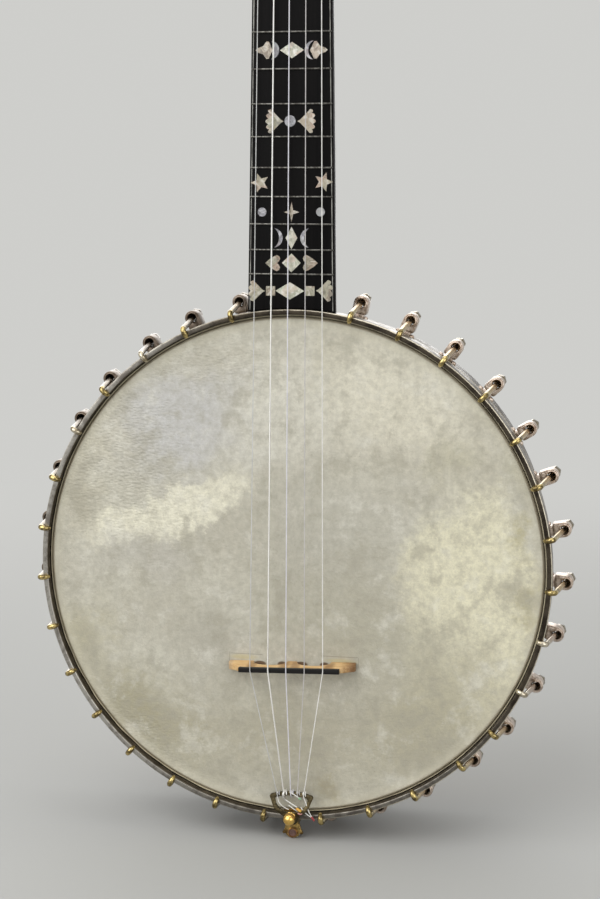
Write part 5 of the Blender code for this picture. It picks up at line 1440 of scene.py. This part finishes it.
def make_tailpiece():
    """Half-moon frame, bent down at its bar, and the ball nut that clamps it."""
    top = BAR_Y + BAR_HALF
    low = BAR_Y - BAR_HALF
    outer = [(0, top), (3, top - 0.1), (6, top - 0.4), (9, top - 0.95), (11, top - 1.5), (12.7, top - 1.9),
             (13.5, top - 3.0), (13.2, top - 3.9), (12.5, top - 5.4), (11.4, top - 8.4), (9.6, top - 11.4),
             (6.6, top - 13.6), (STRAP_HALF, top - 15.0), (STRAP_HALF, STUD_Y - 3.0),
             (STRAP_HALF - 1.6, STUD_Y - 4.9)]
    inner = [(0, low), (3, low - 0.15), (6, low - 0.55), (9.3, low - 1.3), (10.0, low - 2.4),
             (9.3, low - 5.2), (7.4, low - 7.9), (4.0, low - 9.4), (0, low - 9.8)]
    hole = arc(0, STUD_Y, 1.8, 0, 345, 23)
    moon = plate([mirrored(outer), mirrored(inner), hole], TAIL_UNDER, TAIL_TOP, 0.35)
    bmesh.ops.subdivide_edges(moon, edges=[e for e in moon.edges if e.calc_length() > 3], cuts=2)
    for vertex in moon.verts:
        vertex.co.z -= tail_drop(vertex.co.y)
    place_piece("tail_frame", moon, DARK_BRONZE, TAIL, "tailpiece")

    seat = TAIL_TOP + 0.3
    crown = arc(0, seat + 4.24, 3.8, 90, -50, 16)[1:]
    profile = [(0, seat + 8.04)] + crown + [(2.7, seat + 1.0), (3.1, seat + 0.6), (3.1, seat), (1.5, seat),
                                            (1.5, 5.6), (0, 5.6)]
    stand = TAIL @ shift(y=STUD_Y)
    place_piece("ball_nut", spun(profile, 40), POLISHED_GOLD, stand, "tail_ball_nut")


def make_tail_strap():
    """Strap from the end bolt over the band to the tailpiece, with a flared foot and an eyelet."""
    hoop = -HOOP_OUTER - STRAP_GAP
    rim = -RIM_RADIUS - STRAP_GAP
    top = TAIL_UNDER - STRAP_GAP
    outside = hoop - STRAP_THICK
    line = [(STUD_Y + 4.0, top - 2.0), (STUD_Y + 4.0, top), (outside + 1.6, top), (outside + 0.5, top - 0.5),
            (outside, 5.7), (outside, -18.9), (rim - STRAP_THICK, -24.9), (rim - STRAP_THICK, -38),
            (rim, -38), (rim, -23.9), (hoop, -17.9), (hoop, top - 2.0)]
    strap = plate([line], -STRAP_HALF, STRAP_HALF, 0.35)
    strap.transform(Matrix(((0, 0, 1, 0), (1, 0, 0, 0), (0, 1, 0, 0), (0, 0, 0, 1))))
    foot = [(3.4, hoop - 0.6), (3.9, outside + 0.4), (4.3, outside - 1.0), (4.6, outside - 2.6),
            (5.2, outside - 4.4), (6.5, -164.7), (5.4, -165.7), (4.6, -165.1), (3.6, -166.4), (2.0, -167.6),
            (0, -167.9)]
    add(strap, plate([mirrored(foot)], 0.8, 3.1, 0.4))
    place_piece("tail_strap", strap, WORN_GOLD, TAIL, "tail_bracket")
    eyelet = spun([(2.2, 1.2), (3.1, 1.2), (3.15, 3.3), (2.9, 3.85), (2.5, 3.85), (2.2, 3.3)], 36, ring=True)
    place_piece("tail_eyelet", eyelet, ROSY_GOLD, TAIL @ shift(y=EYELET_Y))
    # A dark disc of painted shade fills the eyelet's hole
    pit = spun([(0, 3.16), (2.25, 3.16), (2.25, 2.6), (0, 2.6)], 24)
    place_piece("tail_eyelet_pit", pit, EYELET_PIT, TAIL @ shift(y=EYELET_Y))


def rectangle(half_x, half_y):
    return [(half_x, half_y), (-half_x, half_y), (-half_x, -half_y), (half_x, -half_y)]


def make_stick():
    """Dowel stick with brace plate and wedge, and the bolt that holds the tail strap."""
    stick = block((-STICK_HALF, -138.86, STICK_LEVEL - STICK_DEEP),
                  (STICK_HALF, RIM_RADIUS + 12.3, STICK_LEVEL + STICK_DEEP), 1.6, 3)
    place_piece("stick", stick, STICK_MAPLE, node="dowel_stick")
    brace_y = math.sqrt(WOOD_INNER ** 2 - BRACE_HALF ** 2) - STICK_GAP
    window = rectangle(STICK_HALF + STICK_GAP, STICK_DEEP + STICK_GAP)
    brace = plate([rectangle(BRACE_HALF, 22), window], 0, BRACE_THICK, 0.5)
    place_piece("brace_plate", brace, AGED_NICKEL,
                POT @ shift(0, brace_y, STICK_LEVEL) @ turned(90, "X"), "neck_brace")
    wedge_y = brace_y - BRACE_THICK - STICK_GAP
    wedge_line = [(-23, wedge_y), (-23, wedge_y - 10), (23, wedge_y - 7), (23, wedge_y)]
    wedge = plate([wedge_line], STICK_LEVEL - 4, STICK_LEVEL + 4, 0.6)
    place_piece("stick_wedge", wedge, EBONY, node="brace_wedge")
    seat = -(RIM_RADIUS + STRAP_GAP + STRAP_THICK + 0.3)
    bolt = spun([(0, 3.2), (1.4, 3.1), (2.8, 2.6), (4.0, 1.6), (4.6, 0.5), (4.6, 0), (2.4, 0), (2.4, -30),
                 (0, -30)], 32)
    stand = TAIL @ shift(0, seat, STICK_LEVEL) @ turned(90, "X")
    place_piece("tail_bolt", bolt, BLUED_STEEL, stand, "end_bolt")


make_head()
make_flesh_hoop()
make_hoop()
make_cladding()
make_wood_rim()
make_shoe_bolts()
make_shoes()
make_hooks()
make_neck()
make_board()
make_edge_lines()
make_frets()
make_nut_and_pip()
make_board_inlays()
make_peghead_inlays()
make_pegs()
make_strings()
make_string_ends()
make_silks()
make_bridge()
make_tailpiece()
make_tail_strap()
make_stick()


# Floor, backdrop colour and lamps

def seen_ray(tree):
    """1 for the camera's rays and those that metal and glass send on, 0 for the light's."""
    path = put(tree, "LightPath")
    mirrored_ray = maths(tree, "MAXIMUM", path.outputs["Is Glossy Ray"], path.outputs["Is Transmission Ray"])
    return maths(tree, "MAXIMUM", path.outputs["Is Camera Ray"], mirrored_ray)


def make_floor():
    """Pale floor that keeps the shadow near the banjo and fades into the backdrop's colour."""
    floor = bmesh.new()
    bmesh.ops.create_circle(floor, cap_ends=True, segments=96, radius=30.0)
    mesh = bpy.data.meshes.new("floor")
    floor.to_mesh(mesh)
    floor.free()
    mesh.transform(shift(HEAD_CENTRE.x, HEAD_CENTRE.y, cad_bounds[0][2] - 0.0002))
    made, tree, shader = finish("pale_floor", 0.8, Specular_IOR_Level=0.1)
    shader.inputs["Base Color"].default_value = (*FLOOR_PAINT, 1)
    offset = vector(tree, "SUBTRACT", put(tree, "TexCoord").outputs["Object"], tuple(HEAD_CENTRE))
    away = put(tree, "VectorMath", {0: offset}, operation="LENGTH").outputs["Value"]
    faded = times(tree, rise(tree, away, 0.55, 1.5), seen_ray(tree))
    glow = put(tree, "Emission", {"Color": (*BACKDROP, 1), "Strength": 1.0})
    blend = put(tree, "MixShader", {0: faded, 1: shader.outputs[0], 2: glow.outputs[0]})
    tree.links.new(blend.outputs[0], tree.nodes["Material Output"].inputs["Surface"])
    mesh.materials.append(made)
    obj = bpy.data.objects.new("floor", mesh)
    bpy.context.scene.collection.objects.link(obj)


def make_world():
    """The backdrop's colour where it is seen, and an even white light on the banjo."""
    world = bpy.data.worlds.new("studio")
    bpy.context.scene.world = world
    world.use_nodes = True
    tree = world.node_tree
    tree.nodes.clear()
    shown = put(tree, "Background", {"Color": (*BACKDROP, 1), "Strength": 1.0})
    light = put(tree, "Background", {"Color": (1, 1, 1, 1), "Strength": AMBIENT})
    blend = put(tree, "MixShader", {0: seen_ray(tree), 1: light.outputs[0], 2: shown.outputs[0]})
    out = put(tree, "OutputWorld")
    tree.links.new(blend.outputs[0], out.inputs[0])


def make_lamp(name, place, size, power):
    """A soft rectangular lamp that looks at the skin's centre; place is in metres from there."""
    lamp = bpy.data.lights.new(name, "AREA")
    lamp.shape = "RECTANGLE"
    lamp.size, lamp.size_y = size
    lamp.energy = power
    obj = bpy.data.objects.new(name, lamp)
    bpy.context.scene.collection.objects.link(obj)
    look = (-Vector(place)).to_track_quat("-Z", "Y").to_matrix().to_4x4()
    obj.matrix_world = Matrix.Translation(HEAD_CENTRE + Vector(place)) @ look


make_floor()
make_world()
make_lamp("key", (-1.3, -1.9, 1.7), (3.0, 3.0), 74)
make_lamp("fill", (2.0, -1.7, 0.5), (2.2, 2.6), 30)
make_lamp("top", (0.2, 0.3, 2.3), (2.6, 2.0), 22)
make_lamp("back", (-0.8, 2.4, 0.9), (2.4, 2.4), 40)
bpy.context.scene.view_settings.view_transform = "Standard"
